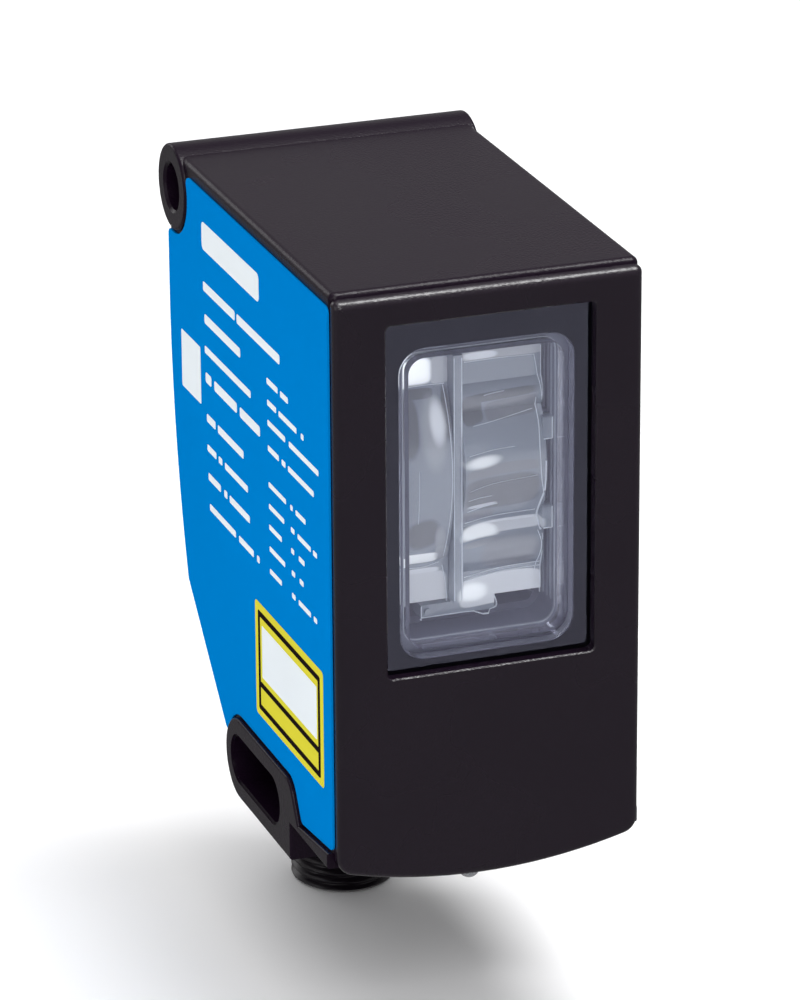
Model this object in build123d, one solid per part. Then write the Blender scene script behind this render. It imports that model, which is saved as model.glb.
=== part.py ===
from build123d import *
import math
import os

# Compact optical contrast sensor in a cast housing, in millimetres.
# X runs across, Y to the back and Z up. The origin is on the upper cross bore, at mid-width.

# Body
BODY_WIDTH = 34.2
PROUD = 0.7            # foot and flange stand this far out of the sides
BORE_TO_FRONT = 53.85  # to the front face of the cover
BORE_TO_TOP = 4.2
BORE_TO_BACK = 2.2     # to the upright part of the back
BACK_BEND_Z = -11.8    # where the back starts to curve forward
BACK_RADIUS = 120.0
BACK_FOOT_Z = -45.7    # where the back meets the 45 degree face
BELLY_Z = -63.0        # lowest point of the front outline
BELLY_RADIUS = 62.0
BELLY_CORNER = 2.0
EDGE_ROUND = 0.7
OUTLINE_ROUND = 1.0    # at the corners of the back and the underside
NOSE_ROUND = 0.8
SIDE_WALL = 2.0
BACK_WALL = 2.8
MOUTH_WALL = 2.0
MOUTH_DEPTH = 7.0

# Upper cross bore and slotted foot, both for M5 screws
BARREL_RADIUS = 4.9
BARREL_PROUD = 0.4     # its ends stand this far out of the sides
BORE_RADIUS = 2.65
BORE_CHAMFER = 0.3
BARREL_ROUND = 0.35
SLOT_RADIUS = 2.65
SLOT_LENGTH = 16.6
SLOT_CENTRE_Y = -27.35
SLOT_CENTRE_Z = -60.2
SLOT_CHAMFER = 0.25
FOOT_WALL = 2.05
FOOT_FRONT_Y = -39.3
FOOT_CORNER = 2.6
FLANGE_ABOVE = 1.4     # from the slot's centre line up to the flange's front top corner
FLANGE_HEIGHT = 1.8
FLANGE_RISE = 1.0
RAMP_TOP_Y = -39.2
RAMP_RUN = 2.6
FLANGE_GAP = 0.8
LEDGE_ROUND = 0.25

# Front cover and its window opening
COVER_THICKNESS = 1.3
COVER_DROP = 0.6       # the cover's top edge lies this far below the housing's
COVER_ROUND = 0.9
PLUG_DEPTH = 3.7
PLUG_WALL = 1.6
WINDOW_SIDE = 5.45     # from the body's sides to the opening, on average
WINDOW_DROP = 3.8      # from the housing's top to the opening
WINDOW_HEIGHT = 39.3
WINDOW_CENTRE_X = 0.15
WINDOW_CORNER = 0.6
WINDOW_BREAK = 0.15    # chamfer round the opening

# Window pane and its seal
PANE_THICKNESS = 1.0
PANE_OVERLAP = 0.7
RIM_SIDE = 1.95        # from the opening to the rim, on average
RIM_END = 2.35
RIM_SHIFT_X = 0.15     # of the rim's middle from the opening's middle
RIM_SHIFT_Z = -1.2
RIM_WALL = 1.0
RIM_DEPTH = 2.1
RIM_CORNER = 2.8

# Lens holder and what it carries
HOLDER_FLANGE = 1.5
HOLDER_WALL = 1.5
HOLDER_DEPTH = 10.9
HOLDER_FLOOR = 1.5
LEDGE_WIDTH = 0.8
LENS_SEAT_DEPTH = 4.4
RIB_WIDTH = 1.0
RIB_THICKNESS = 1.5
RIB_HEIGHT = 30.0
POST_RADIUS = 2.0
POST_INSET = 3.3       # from the hollow's side to the post's centre
POST_END = 3.8         # from the rim's end to the post's centre
LENS_SHARE = 0.356     # of the tub's width, up to where the lenses meet
LENS_TOP_GAP = 1.55
LENS_BOTTOM_GAP = 3.25
LENS_PLATE = 2.0
EMITTER_RADIUS = 26.0
EMITTER_SAG = 2.0
EMITTER_TOP_EDGE = 2.9
EMITTER_BOTTOM_EDGE = 3.8
RECEIVER_STEPS = ((0.13, 0.0), (0.245, 0.6), (0.705, 1.8), (0.892, 0.8))  # share of the height, bulge
RECEIVER_BASE = 0.6
RECEIVER_GAP = 0.9     # from the tub's right side
RECEIVER_BAR = 1.05
RECEIVER_BAR_RISE = 1.5
HOOK_REACH = 1.9
HOOK_HEIGHT = 2.85
HOOK_DEPTH = 2.2
HOOK_SHARES = (0.331, 0.694)
TAB_LEFT = 3.25        # from where the lenses meet
TAB_RIGHT = 5.1
TAB_DROP = 0.3
TAB_HEIGHT = 1.45
TAB_THICKNESS = 2.4
PIP_RADIUS = 0.4
PIP_RISE = 0.4
BAFFLE_THICKNESS = 0.9
BAFFLE_SLOT = 3.0

# Circuit boards and what they carry
BOARD_THICKNESS = 1.6
OPTICS_BOARD_INSET = 0.9
LED_SIZE = 3.0
LED_HEIGHT = 1.0
LED_PITCH = 5.0
LED_COUNT = 3
CHIP_WIDTH = 4.0
CHIP_LENGTH = 15.0
SCREW_RADIUS = 1.0
SCREW_HEAD_RADIUS = 1.9
SCREW_HEAD = 1.3
SCREW_LENGTH = 7.0
SOCKET_WIDTH = 9.0
SOCKET_HEIGHT = 3.0
SOCKET_DEPTH = 2.5
SOCKET_DROP = 4.35     # from the top of the optics board
RIBBON_WIDTH = 7.0
RIBBON_THICKNESS = 0.3
RIBBON_SAG = 3.0
MAIN_BOARD_BACK_Y = -4.85
MAIN_BOARD_TOP_Z = -5.5
MAIN_BOARD_BOTTOM_Z = -41.0
GUIDE_DEPTH = 1.0
GUIDE_THICKNESS = 1.1
PROCESSOR_SIZE = 7.0
PROCESSOR_HEIGHT = 1.2
PROCESSOR_Z = -26.5

# Panel in the back with its button and two indicators
PANEL_WIDTH = 17.0
PANEL_TOP_Z = -8.1
PANEL_BOTTOM_Z = -32.9
PANEL_CORNER = 2.5
PANEL_THICKNESS = 1.2
PANEL_LEDGE = 1.6
PANEL_SEAL = 0.4
BUTTON_Z = -24.5
BUTTON_RADIUS = 3.6
BUTTON_PROUD = 0.5
BUTTON_FLANGE = 1.0
BUTTON_FLANGE_THICKNESS = 1.0
BUTTON_TRAVEL = 0.8
BUTTON_STEM = 1.2
BUTTON_ROUND = 0.4
DOME_WALL = 0.6
SWITCH_SIZE = 3.6
SWITCH_HEIGHT = 1.6
LIGHT_Z = -13.0
LIGHT_SPREAD = 4.6
LIGHT_RADIUS = 1.3
STATUS_LED = 1.6
STATUS_LED_HEIGHT = 0.8

# Small clear dome under the front
LOWER_LIGHT_X = -1.3
LOWER_LIGHT_INSET = 3.3
LOWER_LIGHT_RADIUS = 1.2
LOWER_LIGHT_DROP = 1.6

# Swivelling plug on the 45 degree face
PLUG_AXIS_Y = -5.15
ELBOW_REACH = 4.45     # from the 45 degree face to where the two axes cross
ELBOW_RADIUS = 7.2
ELBOW_FLANGE_RADIUS = 7.6
ELBOW_FLANGE = 1.2
ELBOW_END_Z = -72.2
ELBOW_BORE = 4.6
SPIGOT_RADIUS = 6.0
SPIGOT_BORE = 4.4
SPIGOT_FIT = 0.08
CLIP_THICKNESS = 1.0
CLIP_GROOVE = 0.6
CLIP_WIDTH = 1.8
CLIP_OPENING = 60.0
SPIGOT_LIP = 0.6
SEAL_RADIUS = 6.8
SEAL_SECTION = 0.45
THREAD_RADIUS = 6.0
THREAD_LENGTH = 10.2
THREAD_CHAMFER = 0.35
COLLAR_RADIUS = 6.9
COLLAR_LENGTH = 1.5
SLEEVE_BORE = 4.4
SLEEVE_SHANK = 4.5
SLEEVE_SHANK_RADIUS = 5.3
INSERT_LENGTH = 8.0
INSERT_RECESS = 9.6    # from the end of the thread to the face of the insulator
PIN_RADIUS = 0.5
PIN_CIRCLE = 2.5
PIN_COUNT = 4
PIN_BACK = 1.5         # from the end of the thread to the pin tips
PIN_TAIL = 2.5
KEY_WIDTH = 1.3
KEY_RISE = 0.8
KEY_LENGTH = 8.0

# Label
LABEL_THICKNESS = 0.25
LABEL_MARGIN = 0.35
LABEL_CORNER = 0.8
LABEL_DROP = 1.5       # from the housing's top to the label's top edge

# Clearances
SEAT_GAP = 0.1         # between pieces that lie against each other
BUTTON_GAP = 0.3
BOARD_GAP = 0.2
PANEL_GAP = 0.1
PLUG_GAP = 0.15
PIN_GAP = 0.03

HALF = BODY_WIDTH / 2
FRONT_Y = -BORE_TO_FRONT
SHELL_FRONT_Y = FRONT_Y + COVER_THICKNESS
TOP_Z = BORE_TO_TOP
BACK_Y = BORE_TO_BACK
CAVITY_HALF = HALF - SIDE_WALL
CAVITY_FLOOR_Z = SLOT_CENTRE_Z + SLOT_RADIUS + FOOT_WALL
MOUTH_TOP_Z = TOP_Z - MOUTH_WALL
FOOT_RADIUS = SLOT_RADIUS + FOOT_WALL
SLOT_REAR_Y = SLOT_CENTRE_Y + SLOT_LENGTH / 2 - SLOT_RADIUS
FOOT_TOP_Z = SLOT_CENTRE_Z + FOOT_RADIUS
FOOT_BOTTOM_Z = SLOT_CENTRE_Z - FOOT_RADIUS
FLANGE_TOP_Z = SLOT_CENTRE_Z + FLANGE_ABOVE
PLUG_BACK_Y = SHELL_FRONT_Y + PLUG_DEPTH
WINDOW_WIDTH = BODY_WIDTH - 2 * WINDOW_SIDE
WINDOW_CENTRE_Z = TOP_Z - WINDOW_DROP - WINDOW_HEIGHT / 2
RIM_WIDTH = WINDOW_WIDTH - 2 * RIM_SIDE
RIM_HEIGHT = WINDOW_HEIGHT - 2 * RIM_END
RIM_CENTRE_X = WINDOW_CENTRE_X + RIM_SHIFT_X
RIM_CENTRE_Z = WINDOW_CENTRE_Z + RIM_SHIFT_Z
LOWER_LIGHT_Y = FRONT_Y + LOWER_LIGHT_INSET
PANE_BACK_Y = SHELL_FRONT_Y + PANE_THICKNESS
HOLDER_FRONT_Y = PLUG_BACK_Y + SEAT_GAP
HOLDER_BACK_Y = HOLDER_FRONT_Y + HOLDER_DEPTH
LENS_SEAT_Y = HOLDER_FRONT_Y + LENS_SEAT_DEPTH
LENS_BACK_Y = LENS_SEAT_Y - SEAT_GAP
TUB_FLOOR_Y = HOLDER_BACK_Y - HOLDER_FLOOR
OPTICS_BOARD_Y = HOLDER_BACK_Y + SEAT_GAP
MAIN_BOARD_FRONT_Y = MAIN_BOARD_BACK_Y - BOARD_THICKNESS
COVER_TOP_Z = TOP_Z - COVER_DROP
TUB_LEFT_X = RIM_CENTRE_X - RIM_WIDTH / 2 + RIM_WALL
TUB_RIGHT_X = RIM_CENTRE_X + RIM_WIDTH / 2 - RIM_WALL
TUB_TOP_Z = RIM_CENTRE_Z + RIM_HEIGHT / 2 - RIM_WALL
TUB_BOTTOM_Z = RIM_CENTRE_Z - RIM_HEIGHT / 2 + RIM_WALL
LENS_SPLIT_X = TUB_LEFT_X + LENS_SHARE * (TUB_RIGHT_X - TUB_LEFT_X)
LENS_TOP_Z = TUB_TOP_Z - LENS_TOP_GAP
LENS_BOTTOM_Z = TUB_BOTTOM_Z + LENS_BOTTOM_GAP
EMITTER_TOP_Z = LENS_TOP_Z - EMITTER_TOP_EDGE
EMITTER_BOTTOM_Z = LENS_BOTTOM_Z + EMITTER_BOTTOM_EDGE
RECEIVER_EDGE_X = TUB_RIGHT_X - RECEIVER_GAP
TAB_LEFT_X = LENS_SPLIT_X - TAB_LEFT
TAB_RIGHT_X = LENS_SPLIT_X + TAB_RIGHT
SOCKET_Z = TUB_TOP_Z - SOCKET_DROP
EMITTER_X = (TUB_LEFT_X + LENS_SPLIT_X) / 2
RECEIVER_X = (LENS_SPLIT_X + RECEIVER_EDGE_X) / 2
LENS_MIDDLE_Z = (LENS_TOP_Z + LENS_BOTTOM_Z) / 2


def back_y(z):
    """Place of the back's outer surface at a height."""
    drop = max(0.0, BACK_BEND_Z - z)
    return BACK_Y - BACK_RADIUS + math.sqrt(BACK_RADIUS**2 - drop**2)


def block(x0, x1, y0, y1, z0, z1):
    """Box between two corners."""
    return Pos((x0 + x1) / 2, (y0 + y1) / 2, (z0 + z1) / 2) * Box(x1 - x0, y1 - y0, z1 - z0)


def across(sketch, x0, x1):
    """Solid of a Y-Z sketch between two places across the width."""
    return extrude(Plane.YZ.offset(x0) * sketch, x1 - x0)


def along(sketch, y0, y1):
    """Solid of an X-Z sketch between two places along the depth."""
    return extrude(Plane.XZ.offset(-y1) * sketch, y1 - y0)


def rod(x, z, radius, y0, y1):
    """Round bar along Y."""
    return along(Pos(x, z) * Circle(radius), y0, y1)


def post(x, y, radius, z0, z1):
    """Round bar along Z."""
    return Pos(x, y, (z0 + z1) / 2) * Cylinder(radius, z1 - z0)


def lens_level(share):
    """Height of a place that lies a share of the lenses' height below their top."""
    return LENS_TOP_Z - share * (LENS_TOP_Z - LENS_BOTTOM_Z)


FACE_Y = back_y(BACK_FOOT_Z)
SLANT = FACE_Y - BACK_FOOT_Z                      # Y minus Z, the same all over the 45 degree face
CROSS_Z = PLUG_AXIS_Y - SLANT - ELBOW_REACH * math.sqrt(2)
SWIVEL_Y = PLUG_AXIS_Y - ELBOW_REACH / math.sqrt(2)
SWIVEL_Z = CROSS_Z + ELBOW_REACH / math.sqrt(2)
SWIVEL = Plane(origin=(0, SWIVEL_Y, SWIVEL_Z), x_dir=(1, 0, 0), z_dir=(0, 1, -1))
THREAD_TOP_Z = ELBOW_END_Z - COLLAR_LENGTH
THREAD_END_Z = THREAD_TOP_Z - THREAD_LENGTH


def body_side():
    """Side outline of the cast body: flat top, back that curves forward, 45 degree face."""
    bend = (BACK_Y, BACK_BEND_Z)
    middle_z = (BACK_BEND_Z + BACK_FOOT_Z) / 2
    foot = (FACE_Y, BACK_FOOT_Z)
    low = (SLANT + SLOT_CENTRE_Z, SLOT_CENTRE_Z)
    under = (SLOT_REAR_Y, BELLY_Z)
    chin = (SHELL_FRONT_Y, BELLY_Z)
    brow = (SHELL_FRONT_Y, TOP_Z)
    edges = [
        Line(brow, (BACK_Y, TOP_Z)),
        Line((BACK_Y, TOP_Z), bend),
        ThreePointArc(bend, (back_y(middle_z), middle_z), foot),
        Line(foot, low),
        Line(low, under),
        Line(under, chin),
        Line(chin, brow),
    ]
    face = make_face(edges)
    corners = [face.vertices().sort_by_distance((*corner, 0))[0] for corner in (foot, low, under)]
    return fillet(corners, OUTLINE_ROUND)


def front_outline(top_z):
    """Front outline: straight sides, rounded lower corners and a gently bowed lower edge."""
    side_z = BELLY_Z + BELLY_RADIUS - math.sqrt(BELLY_RADIUS**2 - HALF**2)
    edges = [
        Line((-HALF, top_z), (HALF, top_z)),
        Line((HALF, top_z), (HALF, side_z)),
        ThreePointArc((HALF, side_z), (0, BELLY_Z), (-HALF, side_z)),
        Line((-HALF, side_z), (-HALF, top_z)),
    ]
    face = make_face(edges)
    return fillet(face.vertices().group_by(Axis.Y)[0], BELLY_CORNER)


def inner_side():
    """Side outline of the hollow, a wall inside the body's outline."""
    inside = offset(body_side(), -BACK_WALL)
    above = Pos(0, (TOP_Z + CAVITY_FLOOR_Z) / 2) * Rectangle(2 * BORE_TO_FRONT, TOP_Z - CAVITY_FLOOR_Z)
    return inside & above


def raised_outline():
    """Outline of the foot and the lower flange, which stand out of both sides."""
    flange_bottom = FLANGE_TOP_Z - FLANGE_HEIGHT
    front = SHELL_FRONT_Y + FLANGE_GAP
    points = [
        (SLOT_REAR_Y, FOOT_BOTTOM_Z),
        (FOOT_FRONT_Y, FOOT_BOTTOM_Z),
        (FOOT_FRONT_Y, flange_bottom),
        (front, flange_bottom),
        (front, FLANGE_TOP_Z),
        (RAMP_TOP_Y - RAMP_RUN, FLANGE_TOP_Z - FLANGE_RISE),
        (RAMP_TOP_Y, FOOT_TOP_Z),
        (SLOT_REAR_Y, FOOT_TOP_Z),
    ]
    lines = [Line(a, b) for a, b in zip(points, points[1:])]
    end = ThreePointArc(points[-1], (SLOT_REAR_Y + FOOT_RADIUS, SLOT_CENTRE_Z), points[0])
    face = make_face(lines + [end])
    corner = face.vertices().sort_by_distance(points[6])[0]
    return fillet(corner, FOOT_CORNER)


def foot_slot():
    """Outline of the slot in the foot."""
    return Pos(SLOT_CENTRE_Y, SLOT_CENTRE_Z) * SlotOverall(SLOT_LENGTH, 2 * SLOT_RADIUS)


def panel_outline(grow):
    """Rounded outline of the panel in the back."""
    middle = (PANEL_TOP_Z + PANEL_BOTTOM_Z) / 2
    height = PANEL_TOP_Z - PANEL_BOTTOM_Z
    radius = PANEL_CORNER + grow
    return Pos(0, middle) * RectangleRounded(PANEL_WIDTH + 2 * grow, height + 2 * grow, radius)


def back_skin(outer, inner):
    """Layer of the body between two depths below its side outline."""
    near = body_side() if outer == 0 else offset(body_side(), -outer)
    return across(near - offset(body_side(), -inner), -HALF, HALF)


def rounded_shell():
    """Cast body with its side edges rounded, before it is hollowed."""
    shell = across(body_side(), -HALF, HALF)
    rims = [edge for face in shell.faces().filter_by(Axis.X) for edge in face.edges()]
    behind = SHELL_FRONT_Y + EDGE_ROUND
    rims = [edge for edge in rims if edge.center().Y > behind]
    return fillet(rims, EDGE_ROUND) & along(front_outline(TOP_Z), SHELL_FRONT_Y, BACK_Y)


def make_housing():
    mouth_back = SHELL_FRONT_Y + MOUTH_DEPTH
    shell = rounded_shell()
    shell -= across(inner_side(), -CAVITY_HALF, CAVITY_HALF)
    shell -= block(-CAVITY_HALF, CAVITY_HALF, FRONT_Y, mouth_back, CAVITY_FLOOR_Z, MOUTH_TOP_Z)
    nose = shell.edges().filter_by(Axis.X).sort_by_distance((0, SHELL_FRONT_Y, TOP_Z))[0]
    shell = fillet(nose, NOSE_ROUND)
    shell += make_barrel() + make_foot()
    shell -= cross_bore()
    shell -= slot_way()
    shell -= SWIVEL * Cylinder(SPIGOT_RADIUS + SPIGOT_FIT, 4 * BACK_WALL)
    shell -= back_skin(0, PANEL_THICKNESS + PANEL_SEAL) & along(panel_outline(0), -HALF, HALF)
    shell -= along(panel_outline(-PANEL_LEDGE), BACK_Y - 3 * BACK_WALL, HALF)
    light_hole = LOWER_LIGHT_RADIUS + SEAT_GAP
    shell -= post(LOWER_LIGHT_X, LOWER_LIGHT_Y, light_hole, FOOT_BOTTOM_Z, CAVITY_FLOOR_Z + FOOT_WALL)
    return shell + make_ribs()


def make_barrel():
    """Round boss across the top rear, before it is bored."""
    barrel = Rot(0, 90, 0) * Cylinder(BARREL_RADIUS, 2 * (HALF + BARREL_PROUD))
    return fillet(barrel.edges().filter_by(GeomType.CIRCLE), BARREL_ROUND)


def make_foot():
    """Foot and flange, before the slot is cut."""
    foot = across(raised_outline(), -HALF - PROUD, HALF + PROUD)
    return fillet([edge for face in foot.faces().filter_by(Axis.X) for edge in face.edges()], LEDGE_ROUND)


def cross_bore():
    """Bore of the barrel with a short cone at each end."""
    reach = HALF + BARREL_PROUD
    bore = Rot(0, 90, 0) * Cylinder(BORE_RADIUS, 2 * reach)
    for side in (-1, 1):
        place = Pos(side * (reach - BORE_CHAMFER / 2), 0, 0) * Rot(0, side * 90, 0)
        bore += place * Cone(BORE_RADIUS, BORE_RADIUS + BORE_CHAMFER, BORE_CHAMFER)
    return bore


def slot_way():
    """Slot of the foot with a slightly wider mouth at both sides."""
    reach = HALF + PROUD
    mouth = offset(foot_slot(), SLOT_CHAMFER)
    way = across(foot_slot(), -reach, reach)
    way += across(mouth, -reach, SLOT_CHAMFER - reach)
    return way + across(mouth, reach - SLOT_CHAMFER, reach)


def make_ribs():
    """Ledges behind the lens holder and guides for the main board, on both inner sides."""
    ribs = []
    flange_back = HOLDER_FRONT_Y + HOLDER_FLANGE + SEAT_GAP
    rib_low = WINDOW_CENTRE_Z - RIB_HEIGHT / 2
    rib_high = WINDOW_CENTRE_Z + RIB_HEIGHT / 2
    guide_front = MAIN_BOARD_FRONT_Y - SEAT_GAP
    guide_back = MAIN_BOARD_BACK_Y + SEAT_GAP
    low = MAIN_BOARD_BOTTOM_Z - SEAT_GAP
    for side in (-1, 1):
        inner, outer = sorted((side * (CAVITY_HALF - RIB_WIDTH), side * (CAVITY_HALF + SIDE_WALL / 2)))
        ribs.append(block(inner, outer, flange_back, flange_back + RIB_THICKNESS, rib_low, rib_high))
        inner, outer = sorted((side * (CAVITY_HALF - GUIDE_DEPTH), side * (CAVITY_HALF + SIDE_WALL / 2)))
        first = guide_front - GUIDE_THICKNESS
        last = guide_back + GUIDE_THICKNESS
        ribs.append(block(inner, outer, first, guide_front, low, MAIN_BOARD_TOP_Z))
        ribs.append(block(inner, outer, guide_back, last, low, MAIN_BOARD_TOP_Z))
        ribs.append(block(inner, outer, first, last, low - GUIDE_THICKNESS, low))
    return ribs


def make_front_cover():
    outline = front_outline(COVER_TOP_Z)
    outline = fillet(outline.vertices().group_by(Axis.Y)[-1], EDGE_ROUND)
    plate = along(outline, FRONT_Y, SHELL_FRONT_Y)
    plate = fillet(plate.faces().sort_by(Axis.Y)[0].edges(), COVER_ROUND)
    half = CAVITY_HALF - PLUG_GAP
    low = CAVITY_FLOOR_Z + PLUG_GAP
    plug = block(-half, half, SHELL_FRONT_Y, PLUG_BACK_Y, low, MOUTH_TOP_Z - PLUG_GAP)
    pocket_bottom = WINDOW_CENTRE_Z - WINDOW_HEIGHT / 2 - PANE_OVERLAP - SEAT_GAP
    plug -= block(-half + PLUG_WALL, half - PLUG_WALL, SHELL_FRONT_Y, PLUG_BACK_Y,
                  low + PLUG_WALL, pocket_bottom - PLUG_WALL)
    opening = along(window_outline(0), FRONT_Y, SHELL_FRONT_Y)
    opening = fillet(opening.edges().filter_by(Axis.Y), WINDOW_CORNER)
    cover = plate + plug - opening
    brink = cover.faces().sort_by(Axis.Y)[0].inner_wires()[0].edges()
    cover = chamfer(brink, WINDOW_BREAK)
    return cover - along(window_outline(PANE_OVERLAP + SEAT_GAP), SHELL_FRONT_Y, PLUG_BACK_Y)


def window_outline(grow):
    """Rectangle of the window opening, made larger all round."""
    width = WINDOW_WIDTH + 2 * grow
    return Pos(WINDOW_CENTRE_X, WINDOW_CENTRE_Z) * Rectangle(width, WINDOW_HEIGHT + 2 * grow)


def rim_outline(shrink):
    """Rounded outline of the pane's rim, made smaller all round."""
    size = (RIM_WIDTH - 2 * shrink, RIM_HEIGHT - 2 * shrink)
    return Pos(RIM_CENTRE_X, RIM_CENTRE_Z) * RectangleRounded(*size, RIM_CORNER - shrink)


def make_window_pane():
    plate = along(window_outline(PANE_OVERLAP), SHELL_FRONT_Y, PANE_BACK_Y)
    rim = along(rim_outline(0) - rim_outline(RIM_WALL), PANE_BACK_Y, PANE_BACK_Y + RIM_DEPTH)
    return plate + rim


def make_window_seal():
    return along(window_outline(PANE_OVERLAP) - rim_outline(-SEAT_GAP), PANE_BACK_Y, PLUG_BACK_Y)


def tub(grow, y0, y1):
    """Rounded hollow of the lens holder, made larger all round."""
    size = (TUB_RIGHT_X - TUB_LEFT_X + 2 * grow, TUB_TOP_Z - TUB_BOTTOM_Z + 2 * grow)
    middle = Pos((TUB_LEFT_X + TUB_RIGHT_X) / 2, (TUB_TOP_Z + TUB_BOTTOM_Z) / 2)
    return along(middle * RectangleRounded(*size, RIM_CORNER - RIM_WALL + grow), y0, y1)


def post_places():
    """Two corners, one diagonally across from the other, where the optics board is screwed."""
    reach = CAVITY_HALF - POST_INSET
    rise = RIM_HEIGHT / 2 - POST_END
    return [(side * reach, WINDOW_CENTRE_Z + side * rise) for side in (-1, 1)]


def make_lens_holder():
    half = CAVITY_HALF - BOARD_GAP
    bottom = TUB_BOTTOM_Z - HOLDER_WALL - RIB_WIDTH
    flange_back = HOLDER_FRONT_Y + HOLDER_FLANGE
    holder = block(-half, half, HOLDER_FRONT_Y, flange_back, bottom, MOUTH_TOP_Z - BOARD_GAP)
    holder += tub(HOLDER_WALL, HOLDER_FRONT_Y, HOLDER_BACK_Y)
    for x, z in post_places():
        holder += rod(x, z, POST_RADIUS, HOLDER_FRONT_Y, HOLDER_BACK_Y)
    holder -= tub(0, HOLDER_FRONT_Y, LENS_SEAT_Y)
    holder -= tub(-LEDGE_WIDTH, LENS_SEAT_Y, TUB_FLOOR_Y)
    for x, z in post_places():
        holder -= rod(x, z, SCREW_RADIUS + PIN_GAP, HOLDER_BACK_Y - SCREW_LENGTH, HOLDER_BACK_Y)
    for share in HOOK_SHARES:
        holder -= make_hook(lens_level(share), SEAT_GAP)
    led_reach = LED_PITCH * (LED_COUNT - 1) / 2 + LED_SIZE / 2
    holder -= floor_window(EMITTER_X, LED_SIZE / 2, led_reach)
    return holder - floor_window(RECEIVER_X, CHIP_WIDTH / 2, CHIP_LENGTH / 2)


def floor_window(x, half_width, half_height):
    """Opening in the holder's floor round a part of the optics board."""
    wide = half_width + BOARD_GAP
    high = half_height + BOARD_GAP
    return block(x - wide, x + wide, TUB_FLOOR_Y, HOLDER_BACK_Y, LENS_MIDDLE_Z - high, LENS_MIDDLE_Z + high)


def make_hook(level, grow):
    """Snap hook on the right side of the receiver lens, made larger all round."""
    front = LENS_BACK_Y - LENS_PLATE
    high = HOOK_HEIGHT / 2 + grow
    return block(RECEIVER_EDGE_X - RECEIVER_BAR, RECEIVER_EDGE_X + HOOK_REACH + grow,
                 front - grow, front + HOOK_DEPTH + grow, level - high, level + high)


def make_emitter_lens():
    left = TUB_LEFT_X + SEAT_GAP
    right = LENS_SPLIT_X
    front = LENS_BACK_Y - LENS_PLATE
    plate = block(left, right, front, LENS_BACK_Y, LENS_BOTTOM_Z, LENS_TOP_Z)
    apex = front - EMITTER_SAG
    middle_z = (EMITTER_TOP_Z + EMITTER_BOTTOM_Z) / 2
    ball = Pos((left + right) / 2, apex + EMITTER_RADIUS, middle_z) * Sphere(EMITTER_RADIUS)
    body = block(left, right, apex, front, EMITTER_BOTTOM_Z, EMITTER_TOP_Z)
    return plate + (ball & body)


def receiver_side():
    """Side outline of the receiver lens: flats and bulges one below the other."""
    face = LENS_BACK_Y - LENS_PLATE - RECEIVER_BASE
    edges = [
        Line((face, LENS_BOTTOM_Z), (LENS_BACK_Y, LENS_BOTTOM_Z)),
        Line((LENS_BACK_Y, LENS_BOTTOM_Z), (LENS_BACK_Y, LENS_TOP_Z)),
        Line((LENS_BACK_Y, LENS_TOP_Z), (face, LENS_TOP_Z)),
    ]
    level = LENS_TOP_Z
    for share, bulge in RECEIVER_STEPS:
        below = lens_level(share)
        start = (face, level)
        end = (face, below)
        crown = (face - bulge, (level + below) / 2)
        edges.append(ThreePointArc(start, crown, end) if bulge else Line(start, end))
        level = below
    return make_face(edges + [Line((face, level), (face, LENS_BOTTOM_Z))])


def make_receiver_lens():
    left = LENS_SPLIT_X + SEAT_GAP
    bar_front = LENS_BACK_Y - LENS_PLATE - RECEIVER_BAR_RISE
    lens = across(receiver_side(), left + RECEIVER_BAR, RECEIVER_EDGE_X)
    lens += block(left, left + RECEIVER_BAR, bar_front, LENS_BACK_Y, LENS_BOTTOM_Z, LENS_TOP_Z)
    for share in HOOK_SHARES:
        lens += make_hook(lens_level(share), 0)
    return lens + make_tab(left)


def make_tab(left):
    """Foot of the receiver lens that reaches under the emitter lens, with a small pip."""
    front = LENS_BACK_Y - TAB_THICKNESS
    top = LENS_BOTTOM_Z - TAB_DROP
    tab = block(TAB_LEFT_X, TAB_RIGHT_X, front, LENS_BACK_Y, top - TAB_HEIGHT, top)
    tab += block(left, TAB_RIGHT_X, front, LENS_BACK_Y, top, LENS_BOTTOM_Z + RECEIVER_BAR)
    middle = TAB_HEIGHT / 2
    return tab + rod(TAB_LEFT_X + middle, top - middle, PIP_RADIUS, front - PIP_RISE, LENS_BACK_Y)


def make_baffle_plate():
    plate = tub(-LEDGE_WIDTH - SEAT_GAP, TUB_FLOOR_Y - SEAT_GAP - BAFFLE_THICKNESS, TUB_FLOOR_Y - SEAT_GAP)
    for x in (EMITTER_X, RECEIVER_X):
        slot = Pos(x, LENS_MIDDLE_Z) * Rot(0, 0, 90) * SlotOverall(CHIP_LENGTH, BAFFLE_SLOT)
        plate -= along(slot, LENS_SEAT_Y, TUB_FLOOR_Y)
    return plate


def make_optics_board():
    half = CAVITY_HALF - OPTICS_BOARD_INSET
    back = OPTICS_BOARD_Y + BOARD_THICKNESS
    board = block(-half, half, OPTICS_BOARD_Y, back, TUB_BOTTOM_Z - HOLDER_WALL, TUB_TOP_Z)
    for x, z in post_places():
        board -= rod(x, z, SCREW_RADIUS + BOARD_GAP, OPTICS_BOARD_Y, back)
    return board


def make_optics_screws():
    head = OPTICS_BOARD_Y + BOARD_THICKNESS + SEAT_GAP / 2
    screws = []
    for x, z in post_places():
        screw = rod(x, z, SCREW_RADIUS, HOLDER_BACK_Y - SCREW_LENGTH + SEAT_GAP, head)
        cap = rod(x, z, SCREW_HEAD_RADIUS, head, head + SCREW_HEAD)
        screw += fillet(cap.faces().sort_by(Axis.Y)[-1].edges(), SCREW_HEAD / 3)
        screws.append(screw)
    return Compound(children=screws)


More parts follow.
